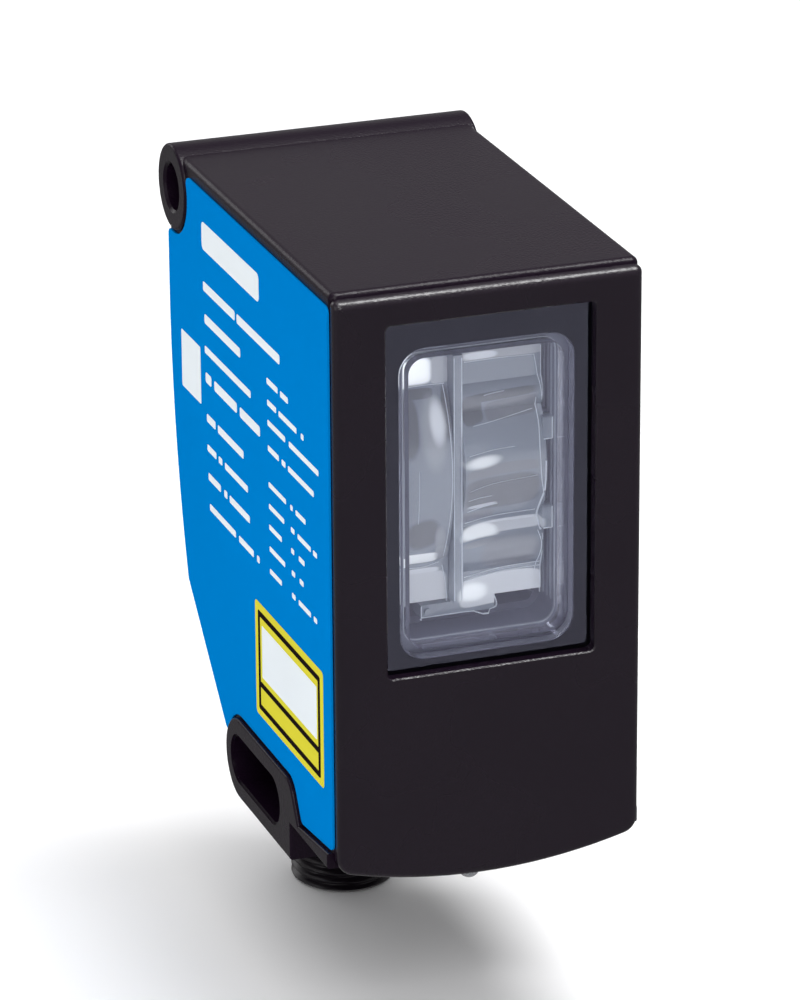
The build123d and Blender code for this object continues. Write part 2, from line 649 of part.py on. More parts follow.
def make_emitter_leds():
    half = LED_SIZE / 2
    front = OPTICS_BOARD_Y - LED_HEIGHT
    leds = []
    for number in range(LED_COUNT):
        z = LENS_MIDDLE_Z + (number - (LED_COUNT - 1) / 2) * LED_PITCH
        leds.append(block(EMITTER_X - half, EMITTER_X + half, front, OPTICS_BOARD_Y, z - half, z + half))
    return Compound(children=leds)


def make_receiver_chip():
    wide = CHIP_WIDTH / 2
    high = CHIP_LENGTH / 2
    return block(RECEIVER_X - wide, RECEIVER_X + wide, OPTICS_BOARD_Y - LED_HEIGHT, OPTICS_BOARD_Y,
                 LENS_MIDDLE_Z - high, LENS_MIDDLE_Z + high)


def make_socket(y0, y1):
    """Plug block on a board."""
    return block(-SOCKET_WIDTH / 2, SOCKET_WIDTH / 2, y0, y1,
                 SOCKET_Z - SOCKET_HEIGHT / 2, SOCKET_Z + SOCKET_HEIGHT / 2)


def make_ribbon_link():
    front = OPTICS_BOARD_Y + BOARD_THICKNESS + SOCKET_DEPTH
    back = MAIN_BOARD_FRONT_Y - SOCKET_DEPTH
    middle = (front + back) / 2
    levels = (SOCKET_Z + RIBBON_THICKNESS / 2, SOCKET_Z - RIBBON_THICKNESS / 2)
    upper, lower = (ThreePointArc((front, z), (middle, z - RIBBON_SAG), (back, z)) for z in levels)
    band = make_face([upper, Line(upper @ 1, lower @ 1), lower, Line(lower @ 0, upper @ 0)])
    return across(band, -RIBBON_WIDTH / 2, RIBBON_WIDTH / 2)


def make_main_board():
    half = CAVITY_HALF - BOARD_GAP
    return block(-half, half, MAIN_BOARD_FRONT_Y, MAIN_BOARD_BACK_Y, MAIN_BOARD_BOTTOM_Z, MAIN_BOARD_TOP_Z)


def make_processor_chip():
    half = PROCESSOR_SIZE / 2
    return block(-half, half, MAIN_BOARD_FRONT_Y - PROCESSOR_HEIGHT, MAIN_BOARD_FRONT_Y,
                 PROCESSOR_Z - half, PROCESSOR_Z + half)


def make_key_switch():
    half = SWITCH_SIZE / 2
    return block(-half, half, MAIN_BOARD_BACK_Y, MAIN_BOARD_BACK_Y + SWITCH_HEIGHT,
                 BUTTON_Z - half, BUTTON_Z + half)


def make_status_leds():
    half = STATUS_LED / 2
    chips = [block(x - half, x + half, MAIN_BOARD_BACK_Y, MAIN_BOARD_BACK_Y + STATUS_LED_HEIGHT,
                   LIGHT_Z - half, LIGHT_Z + half) for x in (-LIGHT_SPREAD, LIGHT_SPREAD)]
    return Compound(children=chips)


def make_rear_panel():
    panel = back_skin(0, PANEL_THICKNESS) & along(panel_outline(-PANEL_GAP), -HALF, HALF)
    panel -= rod(0, BUTTON_Z, BUTTON_RADIUS + BUTTON_GAP, -HALF, HALF)
    for x in (-LIGHT_SPREAD, LIGHT_SPREAD):
        panel -= rod(x, LIGHT_Z, LIGHT_RADIUS + SEAT_GAP / 2, -HALF, HALF)
    return panel


def make_panel_seal():
    ring = panel_outline(-PANEL_GAP) - panel_outline(-PANEL_LEDGE)
    return back_skin(PANEL_THICKNESS, PANEL_THICKNESS + PANEL_SEAL) & along(ring, -HALF, HALF)


def button_back_y():
    """Back of the button's flange at rest."""
    inner = back_y(BUTTON_Z - BUTTON_RADIUS - BUTTON_FLANGE) - PANEL_THICKNESS - BUTTON_GAP
    return inner - BUTTON_FLANGE_THICKNESS


def make_teach_button():
    top = back_y(BUTTON_Z) + BUTTON_PROUD
    back = button_back_y()
    cap = rod(0, BUTTON_Z, BUTTON_RADIUS, back, top)
    cap = fillet(cap.edges().filter_by(GeomType.CIRCLE).sort_by(Axis.Y)[-1], BUTTON_ROUND)
    flange = rod(0, BUTTON_Z, BUTTON_RADIUS + BUTTON_FLANGE, back, back + BUTTON_FLANGE_THICKNESS)
    stem_end = MAIN_BOARD_BACK_Y + SWITCH_HEIGHT + BUTTON_TRAVEL + SEAT_GAP
    return cap + flange + rod(0, BUTTON_Z, BUTTON_STEM, stem_end, back)


def make_return_dome():
    back = button_back_y()
    height = back - MAIN_BOARD_BACK_Y
    base = BUTTON_RADIUS + BUTTON_FLANGE
    cone = Plane(origin=(0, (back + MAIN_BOARD_BACK_Y) / 2, BUTTON_Z), x_dir=(1, 0, 0), z_dir=(0, 1, 0))
    outside = Cone(base, BUTTON_RADIUS, height)
    inside = Cone(base - DOME_WALL, BUTTON_RADIUS - DOME_WALL, height)
    return cone * (outside - inside)


def make_light_guide(x):
    face = back_y(LIGHT_Z + LIGHT_RADIUS)
    foot = MAIN_BOARD_BACK_Y + STATUS_LED_HEIGHT + BOARD_GAP
    guide = rod(x, LIGHT_Z, LIGHT_RADIUS, foot, face + SEAT_GAP)
    return fillet(guide.edges().filter_by(GeomType.CIRCLE).sort_by(Axis.Y)[-1], SEAT_GAP)


def make_bottom_light_guide():
    tip = BELLY_Z - LOWER_LIGHT_DROP
    stem = post(LOWER_LIGHT_X, LOWER_LIGHT_Y, LOWER_LIGHT_RADIUS, tip + LOWER_LIGHT_RADIUS, CAVITY_FLOOR_Z)
    return stem + Pos(LOWER_LIGHT_X, LOWER_LIGHT_Y, tip + LOWER_LIGHT_RADIUS) * Sphere(LOWER_LIGHT_RADIUS)


def label_outline():
    """Outline of the film: inside the side's edges, round the barrel and above the foot."""
    inside = offset(body_side(), -LABEL_MARGIN)
    inside -= Pos(0, TOP_Z) * Rectangle(4 * BORE_TO_FRONT, 2 * LABEL_DROP)
    inside -= Circle(BARREL_RADIUS + LABEL_MARGIN)
    inside -= offset(raised_outline(), LABEL_MARGIN)
    under = FLANGE_TOP_Z - FLANGE_RISE - FOOT_RADIUS
    inside -= Pos(FRONT_Y, under) * Rectangle(2 * BORE_TO_FRONT, 2 * FOOT_RADIUS)
    sharp = inside.faces().sort_by(SortBy.AREA)[-1]
    return offset(offset(sharp, -LABEL_CORNER), LABEL_CORNER)


def make_side_label():
    return across(label_outline(), -HALF - LABEL_THICKNESS, -HALF)


def make_connector_elbow():
    arm = SWIVEL * Pos(0, 0, ELBOW_REACH / 2) * Cylinder(ELBOW_RADIUS, ELBOW_REACH)
    knee = Pos(0, PLUG_AXIS_Y, CROSS_Z) * Sphere(ELBOW_RADIUS)
    leg = post(0, PLUG_AXIS_Y, ELBOW_RADIUS, ELBOW_END_Z, CROSS_Z)
    elbow = arm + knee + leg
    flange = SWIVEL * Pos(0, 0, PLUG_GAP + ELBOW_FLANGE / 2) * Cylinder(ELBOW_FLANGE_RADIUS, ELBOW_FLANGE)
    behind = SWIVEL * Pos(0, 0, PLUG_GAP - HALF) * Cylinder(2 * HALF, 2 * HALF)
    elbow = elbow + flange - behind
    length = BACK_WALL + SEAT_GAP + CLIP_THICKNESS + SEAT_GAP + SPIGOT_LIP
    spigot = SWIVEL * Pos(0, 0, (PLUG_GAP - length) / 2) * Cylinder(SPIGOT_RADIUS, length + PLUG_GAP)
    groove_z = -BACK_WALL - SEAT_GAP - CLIP_THICKNESS / 2
    groove = Cylinder(SPIGOT_RADIUS + CLIP_GROOVE, CLIP_THICKNESS + SEAT_GAP) - Cylinder(
        SPIGOT_RADIUS - CLIP_GROOVE, CLIP_THICKNESS + SEAT_GAP)
    elbow += spigot - SWIVEL * Pos(0, 0, groove_z) * groove
    elbow -= SWIVEL * Pos(0, 0, (ELBOW_REACH - length) / 2) * Cylinder(SPIGOT_BORE, length + ELBOW_REACH)
    elbow -= Pos(0, PLUG_AXIS_Y, CROSS_Z) * Sphere(SPIGOT_BORE)
    shank_top = ELBOW_END_Z + SLEEVE_SHANK
    elbow -= post(0, PLUG_AXIS_Y, ELBOW_BORE, shank_top, CROSS_Z)
    elbow -= post(0, PLUG_AXIS_Y, SLEEVE_SHANK_RADIUS + PIN_GAP, ELBOW_END_Z, shank_top)
    channel = Cylinder(SEAL_RADIUS + SEAL_SECTION, SEAL_SECTION * 2) - Cylinder(
        SEAL_RADIUS - SEAL_SECTION, SEAL_SECTION * 2)
    return elbow - SWIVEL * Pos(0, 0, PLUG_GAP + SEAL_SECTION) * channel


def make_swivel_seal():
    return SWIVEL * Pos(0, 0, PLUG_GAP + SEAL_SECTION) * Torus(SEAL_RADIUS, SEAL_SECTION - PIN_GAP)


def make_swivel_clip():
    inner = SPIGOT_RADIUS - CLIP_GROOVE + PIN_GAP
    ring = Cylinder(inner + CLIP_WIDTH, CLIP_THICKNESS) - Cylinder(inner, CLIP_THICKNESS)
    half = math.radians(CLIP_OPENING / 2)
    reach = 2 * SPIGOT_RADIUS
    mouth = make_face(Polyline((0, 0), (reach * math.cos(half), reach * math.sin(half)),
                               (reach * math.cos(half), -reach * math.sin(half)), (0, 0)))
    ring -= Pos(0, 0, -CLIP_THICKNESS) * extrude(mouth, 2 * CLIP_THICKNESS)
    return SWIVEL * Pos(0, 0, -BACK_WALL - SEAT_GAP - CLIP_THICKNESS / 2) * ring


def make_thread_sleeve():
    thread = post(0, PLUG_AXIS_Y, THREAD_RADIUS, THREAD_END_Z, THREAD_TOP_Z)
    thread = chamfer(thread.edges().filter_by(GeomType.CIRCLE).sort_by(Axis.Z)[0], THREAD_CHAMFER)
    collar = post(0, PLUG_AXIS_Y, COLLAR_RADIUS, THREAD_TOP_Z, ELBOW_END_Z)
    shank = post(0, PLUG_AXIS_Y, SLEEVE_SHANK_RADIUS, ELBOW_END_Z, ELBOW_END_Z + SLEEVE_SHANK)
    sleeve = thread + collar + shank
    sleeve -= post(0, PLUG_AXIS_Y, SLEEVE_BORE, THREAD_END_Z, ELBOW_END_Z + SLEEVE_SHANK)
    wall = PLUG_AXIS_Y + SLEEVE_BORE
    top = THREAD_END_Z + PIN_BACK + KEY_LENGTH
    return sleeve + block(-KEY_WIDTH / 2, KEY_WIDTH / 2, wall - KEY_RISE, wall + KEY_RISE / 2,
                          THREAD_END_Z + PIN_BACK, top)


def pin_places():
    """Four pins on a circle and one in its middle."""
    turns = [math.radians(45 + 360 * number / PIN_COUNT) for number in range(PIN_COUNT)]
    ring = [(PIN_CIRCLE * math.cos(t), PLUG_AXIS_Y + PIN_CIRCLE * math.sin(t)) for t in turns]
    return ring + [(0, PLUG_AXIS_Y)]


def make_contact_insert():
    face = THREAD_END_Z + INSERT_RECESS
    insert = post(0, PLUG_AXIS_Y, SLEEVE_BORE - PIN_GAP, face, face + INSERT_LENGTH)
    for x, y in pin_places():
        insert -= post(x, y, PIN_RADIUS + PIN_GAP, face, face + INSERT_LENGTH)
    return insert


def make_contact_pins():
    tip = THREAD_END_Z + PIN_BACK
    top = THREAD_END_Z + INSERT_RECESS + INSERT_LENGTH + PIN_TAIL
    pins = []
    for x, y in pin_places():
        pin = post(x, y, PIN_RADIUS, tip, top)
        pins.append(chamfer(pin.edges().filter_by(GeomType.CIRCLE).sort_by(Axis.Z)[0], PIN_RADIUS / 2))
    return Compound(children=pins)


def parts():
    """Every piece under the name of its node."""
    optics_back = OPTICS_BOARD_Y + BOARD_THICKNESS
    return {
        "housing": make_housing(),
        "front_cover": make_front_cover(),
        "window_pane": make_window_pane(),
        "window_seal": make_window_seal(),
        "side_label": make_side_label(),
        "lens_holder": make_lens_holder(),
        "emitter_lens": make_emitter_lens(),
        "receiver_lens": make_receiver_lens(),
        "baffle_plate": make_baffle_plate(),
        "optics_board": make_optics_board(),
        "optics_screws": make_optics_screws(),
        "emitter_leds": make_emitter_leds(),
        "receiver_chip": make_receiver_chip(),
        "optics_socket": make_socket(optics_back, optics_back + SOCKET_DEPTH),
        "ribbon_link": make_ribbon_link(),
        "main_socket": make_socket(MAIN_BOARD_FRONT_Y - SOCKET_DEPTH, MAIN_BOARD_FRONT_Y),
        "main_board": make_main_board(),
        "processor_chip": make_processor_chip(),
        "key_switch": make_key_switch(),
        "status_leds": make_status_leds(),
        "rear_panel": make_rear_panel(),
        "panel_seal": make_panel_seal(),
        "teach_button": make_teach_button(),
        "return_dome": make_return_dome(),
        "power_light_guide": make_light_guide(-LIGHT_SPREAD),
        "output_light_guide": make_light_guide(LIGHT_SPREAD),
        "bottom_light_guide": make_bottom_light_guide(),
        "connector_elbow": make_connector_elbow(),
        "swivel_seal": make_swivel_seal(),
        "swivel_clip": make_swivel_clip(),
        "thread_sleeve": make_thread_sleeve(),
        "contact_insert": make_contact_insert(),
        "contact_pins": make_contact_pins(),
    }


os.makedirs("parts", exist_ok=True)
for name, shape in parts().items():
    export_step(shape, f"parts/{name}.step")
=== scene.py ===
"""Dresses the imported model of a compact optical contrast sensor.

The file is laid out as an add-on and is run as a script. Every size is in millimetres until a mesh is
made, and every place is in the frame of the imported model: X across, Y to the back, Z up.
"""

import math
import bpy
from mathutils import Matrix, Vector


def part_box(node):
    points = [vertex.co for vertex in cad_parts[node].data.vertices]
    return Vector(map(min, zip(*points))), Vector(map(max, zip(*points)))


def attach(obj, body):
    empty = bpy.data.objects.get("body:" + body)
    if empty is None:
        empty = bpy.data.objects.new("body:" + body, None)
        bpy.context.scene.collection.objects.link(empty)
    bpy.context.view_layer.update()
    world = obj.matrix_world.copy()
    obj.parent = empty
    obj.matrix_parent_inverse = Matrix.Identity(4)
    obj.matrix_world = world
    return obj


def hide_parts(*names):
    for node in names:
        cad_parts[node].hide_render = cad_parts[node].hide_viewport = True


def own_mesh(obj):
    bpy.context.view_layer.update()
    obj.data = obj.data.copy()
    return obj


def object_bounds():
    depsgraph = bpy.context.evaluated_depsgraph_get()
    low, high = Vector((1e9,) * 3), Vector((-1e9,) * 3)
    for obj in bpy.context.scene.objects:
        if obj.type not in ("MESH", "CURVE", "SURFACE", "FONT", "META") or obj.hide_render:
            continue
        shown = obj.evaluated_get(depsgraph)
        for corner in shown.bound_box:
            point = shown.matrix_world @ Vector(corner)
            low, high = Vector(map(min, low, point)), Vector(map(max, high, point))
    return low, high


bl_info = {
    "name": "Optical contrast sensor",
    "version": (1, 0, 0),
    "blender": (4, 5, 0),
    "location": "View3D > Sidebar > Sensor",
    "description": "Finishes, print, optics, thread and studio of a compact optical contrast sensor",
    "category": "Object",
}

import bmesh
import bpy
from bpy.props import FloatProperty, FloatVectorProperty, IntProperty, PointerProperty
from mathutils import Matrix, Vector
from mathutils.bvhtree import BVHTree

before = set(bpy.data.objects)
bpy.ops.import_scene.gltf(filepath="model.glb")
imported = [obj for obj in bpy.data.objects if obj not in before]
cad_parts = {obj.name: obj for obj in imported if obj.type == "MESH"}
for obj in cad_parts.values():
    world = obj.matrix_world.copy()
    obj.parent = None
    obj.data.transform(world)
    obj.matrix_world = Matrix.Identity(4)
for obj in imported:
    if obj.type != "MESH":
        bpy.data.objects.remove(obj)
CAD_BOX = [list(corner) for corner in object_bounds()]

MM = 0.001
BODY = "sensor_body"
PLUG = "plug"
# Tint of the painted highlights and painted shade on the lenses
PAINTED_LIGHT_TINT = (0.94, 0.99, 1.06)
PLASTIC_IOR = 1.49
GRAIN_DEPTH = 0.05  # of the fine relief of every finish
CORNER_STEPS = 3  # faces round each corner of a field
CURVE_STEPS = 6  # faces of a curve between two given places, or of the mouth's corner
RIDGE_SINK = 0.1  # how far the sides of a ridge reach under the surface
EDGE_RISE = 0.06  # how far a ridge that carries a painted highlight on a lens stands out
BEAD_RISE = 0.1  # the same of a bead of the tray that carries a painted highlight
CREASE_ANGLE = 30  # degrees, above which the shading keeps an edge
BAR_SHARE = 0.62  # of a line's height that its bar fills
PATCH_INPUTS = ("Centre X", "Centre Z", "Half width", "Half height", "Tilt", "Bow", "Squareness", "Softness")

# Painted highlights and painted shade on the lenses, some glowing: centre across and up, half width and
# height, tilt, bow, squareness, softness, level of grey and share of painted glow
EMITTER_PAINTED_LIGHT = (
    (-6.3, -7.5, 2.25, 1.45, 0.0, 0.0, 5.0, 0.6, 1.0, 0.75),
    (-3.1, -7.6, 1.0, 1.45, 0.0, 0.0, 6.0, 0.4, 0.66, 0.05),
    (-5.6, -9.9, 1.6, 0.55, 0.0, 0.0, 4.0, 0.5, 0.22, 0.0),
    (-7.1, -13.2, 1.25, 3.4, 0.0, 0.0, 2.5, 0.4, 0.24, 0.0),
    (-2.7, -12.2, 0.5, 2.8, 0.0, 0.0, 2.5, 0.5, 0.25, 0.0),
    (-4.3, -14.2, 1.35, 3.6, 0.05, 0.0, 2.0, 0.8, 0.62, 0.0),
    (-3.75, -13.0, 0.8, 2.2, 0.04, 0.0, 2.0, 0.95, 0.95, 0.3),
    (-5.4, -25.4, 1.9, 1.7, 0.25, 0.0, 2.5, 0.5, 0.22, 0.0),
    (-3.3, -26.6, 0.6, 1.7, 0.2, 0.0, 2.0, 0.8, 0.55, 0.0),
    (-6.0, -28.45, 2.5, 0.6, 0.0, 0.0, 5.0, 0.45, 1.0, 0.5),
    (-3.1, -28.0, 0.75, 0.85, 0.0, 0.0, 3.0, 0.6, 0.6, 0.05),
    (-5.2, -30.0, 1.9, 0.3, 0.0, 0.0, 4.0, 0.5, 0.8, 0.2),
    (-4.8, -32.4, 2.4, 2.2, 0.0, 0.0, 6.0, 0.3, 0.74, 0.15),
)
RECEIVER_PAINTED_LIGHT = (
    (3.6, -6.35, 4.6, 0.5, 0.0, 0.0, 6.0, 0.3, 0.62, 0.05),
    (1.2, -6.35, 1.9, 0.4, 0.0, 0.0, 3.0, 0.6, 0.95, 0.25),
    (3.2, -10.8, 4.2, 0.5, 0.05, 0.0, 4.0, 0.6, 0.22, 0.0),
    (0.1, -12.3, 1.2, 1.5, 0.25, 0.0, 4.0, 0.4, 0.22, 0.0),
    (4.6, -12.4, 2.9, 1.1, 0.08, 0.0, 6.0, 0.4, 0.34, 0.0),
    (3.2, -18.6, 4.2, 0.6, 0.06, 0.3, 4.0, 0.5, 0.38, 0.0),
    (0.95, -17.7, 1.8, 0.6, 0.12, 0.0, 2.0, 0.9, 1.0, 0.4),
    (3.2, -21.3, 4.2, 1.9, 0.03, 0.0, 4.0, 0.4, 0.24, 0.0),
    (1.0, -22.75, 1.6, 0.2, 0.1, 0.0, 3.0, 0.5, 0.85, 0.15),
    (0.6, -24.0, 1.9, 0.6, 0.1, 0.0, 3.0, 0.6, 0.4, 0.0),
    (4.4, -25.55, 3.6, 0.66, 0.02, 0.1, 5.0, 0.5, 0.8, 0.15),
    (0.9, -25.95, 2.1, 0.66, 0.1, 0.25, 3.0, 0.7, 1.0, 0.55),
    (1.0, -27.2, 1.9, 0.35, 0.12, 0.0, 3.0, 0.6, 0.5, 0.0),
    (4.4, -28.6, 3.2, 1.8, 0.0, 0.0, 3.0, 0.6, 0.42, 0.0),
    (3.6, -32.8, 4.7, 1.75, 0.03, 0.3, 6.0, 0.2, 0.8, 0.18),
    (0.3, -33.0, 1.7, 1.1, 0.0, 0.0, 2.5, 0.9, 1.0, 0.5),
)
# Snap hooks at the right of the lens block: heights of their middles, ends across, front and back, half
# their height, the corner, and the painted highlight rim of each as places across and up from its middle
HOOK_LEVELS = (-14.9, -25.0)
HOOK_ENDS = (7.75, 8.93)
HOOK_DEPTHS = (-48.45, -46.9)
HOOK_REACH = 1.28
HOOK_CORNER = 0.15
HOOK_RIM = ((8.84, 1.2), (8.84, 0.0), (8.84, -1.18), (8.4, -1.18), (7.85, -1.18))
HOOK_RIM_WIDTH = 0.2
HOOK_RIM_RISE = 0.08
# The beads and ribs of the tray are pale ridges that carry painted highlights
# Tray round the lenses: size, middle, corner and width of the bead round its mouth, a place on its flange,
# the bead along its foot, and the ribs down its right wall with the depth and width of each
MOUTH_SIZE = (17.4, 32.6)
MOUTH_MIDDLE = (0.3, -20.45)
MOUTH_CORNER = 1.8
MOUTH_WIDTH = 0.2
FLANGE_PLACE = (10.5, -20.0)
FOOT_LINE = ((3.4, -35.0), (5.5, -35.0), (8.3, -35.0))
FOOT_WIDTH = 0.14
FOOT_RISE = 0.08
WALL_RIBS = ((-47.9, 0.25), (-46.9, 0.16), (-45.7, 0.3))
WALL_LINE = ((8.92, -5.6), (8.92, -20.0), (8.92, -34.6))
# Painted highlights on moulded edges: width and the places across and up that the line goes through
EMITTER_HIGHLIGHT_LINES = (
    (0.13, ((-2.75, -9.3), (-2.5, -13.0), (-2.35, -18.0), (-2.4, -22.0), (-2.6, -26.0), (-2.8, -28.6))),
    (0.16, ((-2.9, -29.6), (-2.5, -32.0), (-2.35, -34.0))),
    (0.1, ((-7.0, -29.5), (-5.0, -29.55), (-3.3, -29.2))),
    (0.1, ((-7.0, -9.15), (-5.0, -9.1), (-2.6, -9.15))),
    (0.08, ((-6.1, -18.0), (-6.1, -24.0))),
)
RECEIVER_HIGHLIGHT_LINES = (
    (0.14, ((-0.62, -6.9), (3.5, -6.85), (7.2, -6.95))),
    (0.12, ((7.25, -6.9), (7.6, -9.0), (7.95, -11.6))),
    (0.1, ((8.0, -6.0), (8.0, -12.0))),
    (0.16, ((7.3, -11.6), (7.45, -14.0), (7.35, -17.0), (7.5, -20.0), (7.9, -22.2))),
    (0.3, ((8.0, -18.4), (8.0, -21.9))),
    (0.34, ((7.9, -22.2), (7.5, -24.4), (7.85, -26.6))),
    (0.12, ((7.5, -26.6), (7.9, -28.4), (7.35, -31.4))),
    (0.12, ((8.0, -24.6), (8.0, -34.0))),
    (0.1, ((1.4, -10.65), (2.4, -10.5), (3.7, -10.4))),
    (0.07, ((0.2, -13.9), (2.6, -13.6), (7.0, -12.9))),
    (0.08, ((-0.6, -16.9), (2.0, -16.5), (4.5, -16.4))),
    (0.07, ((-0.6, -20.9), (2.2, -20.2), (7.0, -19.9))),
    (0.1, ((-0.6, -22.0), (0.6, -21.75), (2.0, -21.65))),
    (0.12, ((-0.6, -23.4), (1.0, -22.95), (2.7, -22.7))),
    (0.1, ((-0.6, -24.9), (2.6, -24.3), (7.2, -24.2))),
    (0.11, ((-0.62, -31.15), (1.2, -30.85), (4.0, -30.5), (8.0, -30.45))),
    (0.13, ((-0.62, -31.65), (1.2, -31.3), (4.0, -30.95), (8.0, -30.9))),
    (0.2, ((-1.18, -6.0), (-1.18, -20.0), (-1.18, -33.3))),
    (0.12, ((-2.02, -6.0), (-2.02, -20.0), (-2.02, -33.3))),
    (0.16, ((-5.38, -33.9), (-5.38, -35.17), (-5.3, -35.2), (-1.0, -35.18), (2.8, -35.15), (2.84, -33.6))),
)

# Plain bars on the side film: height, lower edge and the ends of every bar
LEFT_LINES = (
    (1.75, -9.0, ((-10.6, -21.6), (-22.3, -36.7))),
    (1.75, -12.7, ((-10.9, -23.3),)),
    (1.35, -16.1, ((-10.8, -26.7),)),
    (1.9, -19.6, ((-10.9, -12.9), (-14.0, -21.8), (-22.9, -29.7))),
    (1.5, -24.1, ((-11.1, -14.1), (-15.0, -23.9))),
    (1.25, -27.5, ((-11.1, -14.2), (-15.1, -16.3), (-17.3, -25.2))),
    (1.35, -30.9, ((-11.3, -15.6), (-16.9, -17.9), (-18.8, -25.7))),
    (1.25, -34.4, ((-11.6, -20.7), (-21.9, -26.9), (-28.1, -28.9))),
)
RIGHT_LINES = (
    (1.1, -12.4, ((-32.3, -35.9), (-36.8, -39.3))),
    (1.05, -14.8, ((-32.4, -35.3), (-36.2, -42.0), (-43.5, -44.3))),
    (1.05, -17.1, ((-32.4, -38.2), (-39.5, -49.0))),
    (1.05, -20.0, ((-32.4, -36.0), (-37.0, -38.2), (-39.1, -47.4))),
    (0.95, -24.1, ((-32.5, -38.2), (-39.7, -40.4), (-41.4, -44.6))),
    (0.95, -26.6, ((-32.5, -37.5), (-39.8, -40.9), (-42.0, -46.2), (-47.0, -48.2))),
    (0.95, -29.0, ((-32.5, -36.6), (-39.8, -40.7), (-42.3, -44.1))),
    (0.95, -31.5, ((-32.5, -37.6), (-39.9, -40.9), (-42.5, -43.7))),
    (0.95, -34.1, ((-32.5, -36.4), (-39.9, -41.0), (-42.1, -46.0), (-47.0, -48.0))),
)
# Plain fields on the side film: two ends along Y, two edges up and the corner
PALE_BLOCKS = ((-2.3, -9.1, -15.8, -22.5, 0.25), (-10.4, -30.0, -3.9, -0.7, 0.6))
YELLOW_FIELD = (-27.1, -49.7, -38.8, -52.2, 0.5)
LINE_OUTSIDE = (-28.1, -48.7, -39.7, -51.4, 0.3)
LINE_INSIDE = (-28.75, -48.05, -40.35, -50.75, 0.15)
LINE_ACROSS = (-28.75, -48.05, -48.0, -48.65, 0.1)
PALE_PANEL = (-29.4, -47.6, -41.2, -47.3, 0.15)

# Threaded end of the plug: the thread with its chamfer, the collar above it and the shank above that
THREAD_RADIUS = 6.0
THREAD_CHAMFER = 0.35
THREAD_OVERLAP = 0.1
CREST_SHARE = 0.12  # of half a pitch that is flat at the crest
FLANK_SLOPE = 1.32
WELD_DISTANCE = 0.002
COLLAR_LENGTH = 1.5
COLLAR_ROUNDING = 0.25
SHANK_RADIUS = 5.3
SHANK_LENGTH = 4.5
SLEEVE_CREASE_ANGLE = 40

# Studio, in metres: how far the floor reaches, and the side, size and place of every light
FLOOR_REACH = 4.0
LIGHTS = (
    ("top", (0.2, 0.42), (0.21, -0.13, 0.66)),
    ("side", (0.5, 0.7), (-0.75, -0.25, 0.15)),
    ("front", (0.45, 0.3), (-0.2, -0.62, 0.46)),
    ("sky", (1.6, 1.6), (0.0, -0.1, 1.2)),
    ("back", (0.45, 0.35), (-0.34, 0.82, 0.27)),
)
LIGHT_TARGET = (0.0, -0.03, -0.03)
# Camera solved from the edges of the housing: film width and focal length in millimetres, then in metres the
# near and far limits, and its turn and place
CAMERA_FILM = 36.0
CAMERA_LENS = 202.818
CAMERA_CLIP = (0.01, 20.0)
CAMERA_TURN = ((0.94075169, 0.12708317, -0.31438212), (-0.33904339, 0.33614449, -0.87866744),
               (-0.00598603, 0.93319706, 0.35931521))
CAMERA_PLACE = (-0.19414857, -0.56828882, 0.19163298)


# Meshes

def edges_of(name):
    """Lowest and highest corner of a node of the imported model, in millimetres."""
    low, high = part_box(name)
    return low / MM, high / MM


def new_piece(name, bm, material, body, smooth=True):
    """Mesh object of a bmesh in millimetres, riding on a body."""
    bmesh.ops.transform(bm, matrix=Matrix.Scale(MM, 4), verts=bm.verts)
    mesh = bpy.data.meshes.new(name)
    bm.to_mesh(mesh)
    bm.free()
    for face in mesh.polygons:
        face.use_smooth = smooth
    mesh.materials.append(material)
    piece = bpy.data.objects.new(name, mesh)
    bpy.context.scene.collection.objects.link(piece)
    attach(piece, body)
    return piece


def shade_by_angle(piece, degrees):
    """Keeps edges sharper than an angle as creases of the shading."""
    bm = bmesh.new()
    bm.from_mesh(piece.data)
    limit = math.radians(degrees)
    for edge in bm.edges:
        edge.smooth = edge.is_manifold and edge.calc_face_angle(math.pi) < limit
    bm.to_mesh(piece.data)
    bm.free()


def rounded_rectangle(width, height, radius, steps=CORNER_STEPS):
    """Points of a rectangle with rounded corners, round its middle."""
    points = []
    for quarter in range(4):
        turn = quarter * math.pi / 2
        sign_x, sign_y = ((1, 1), (-1, 1), (-1, -1), (1, -1))[quarter]
        centre = (sign_x * (width / 2 - radius), sign_y * (height / 2 - radius))
        for step in range(steps + 1):
            angle = turn + step * math.pi / 2 / steps
            points.append((centre[0] + radius * math.cos(angle), centre[1] + radius * math.sin(angle)))
    return points


def add_plate(bm, outline, x0, x1):
    """Closed plate of a Y-Z outline between two places across the width."""
    near = [bm.verts.new((x0, y, z)) for y, z in outline]
    far = [bm.verts.new((x1, y, z)) for y, z in outline]
    count = len(outline)
    faces = [bm.faces.new(near), bm.faces.new(far)]
    for index in range(count):
        after = (index + 1) % count
        faces.append(bm.faces.new((near[index], near[after], far[after], far[index])))
    bmesh.ops.recalc_face_normals(bm, faces=faces)


def add_frame(bm, outer, inner, x0, x1):
    """Closed ring between two Y-Z outlines of the same number of points."""
    loops = [[bm.verts.new((x, y, z)) for y, z in line] for x in (x0, x1) for line in (outer, inner)]
    count = len(outer)
    faces = []
    for index in range(count):
        after = (index + 1) % count
        for first, second in ((0, 1), (1, 3), (3, 2), (2, 0)):
            corners = (loops[first][index], loops[first][after], loops[second][after], loops[second][index])
            faces.append(bm.faces.new(corners))
    bmesh.ops.recalc_face_normals(bm, faces=faces)


def field(y0, y1, z0, z1, corner):
    """Rounded outline of a printed field between two corners."""
    points = rounded_rectangle(abs(y1 - y0), abs(z1 - z0), corner)
    return [((y0 + y1) / 2 + y, (z0 + z1) / 2 + z) for y, z in points]


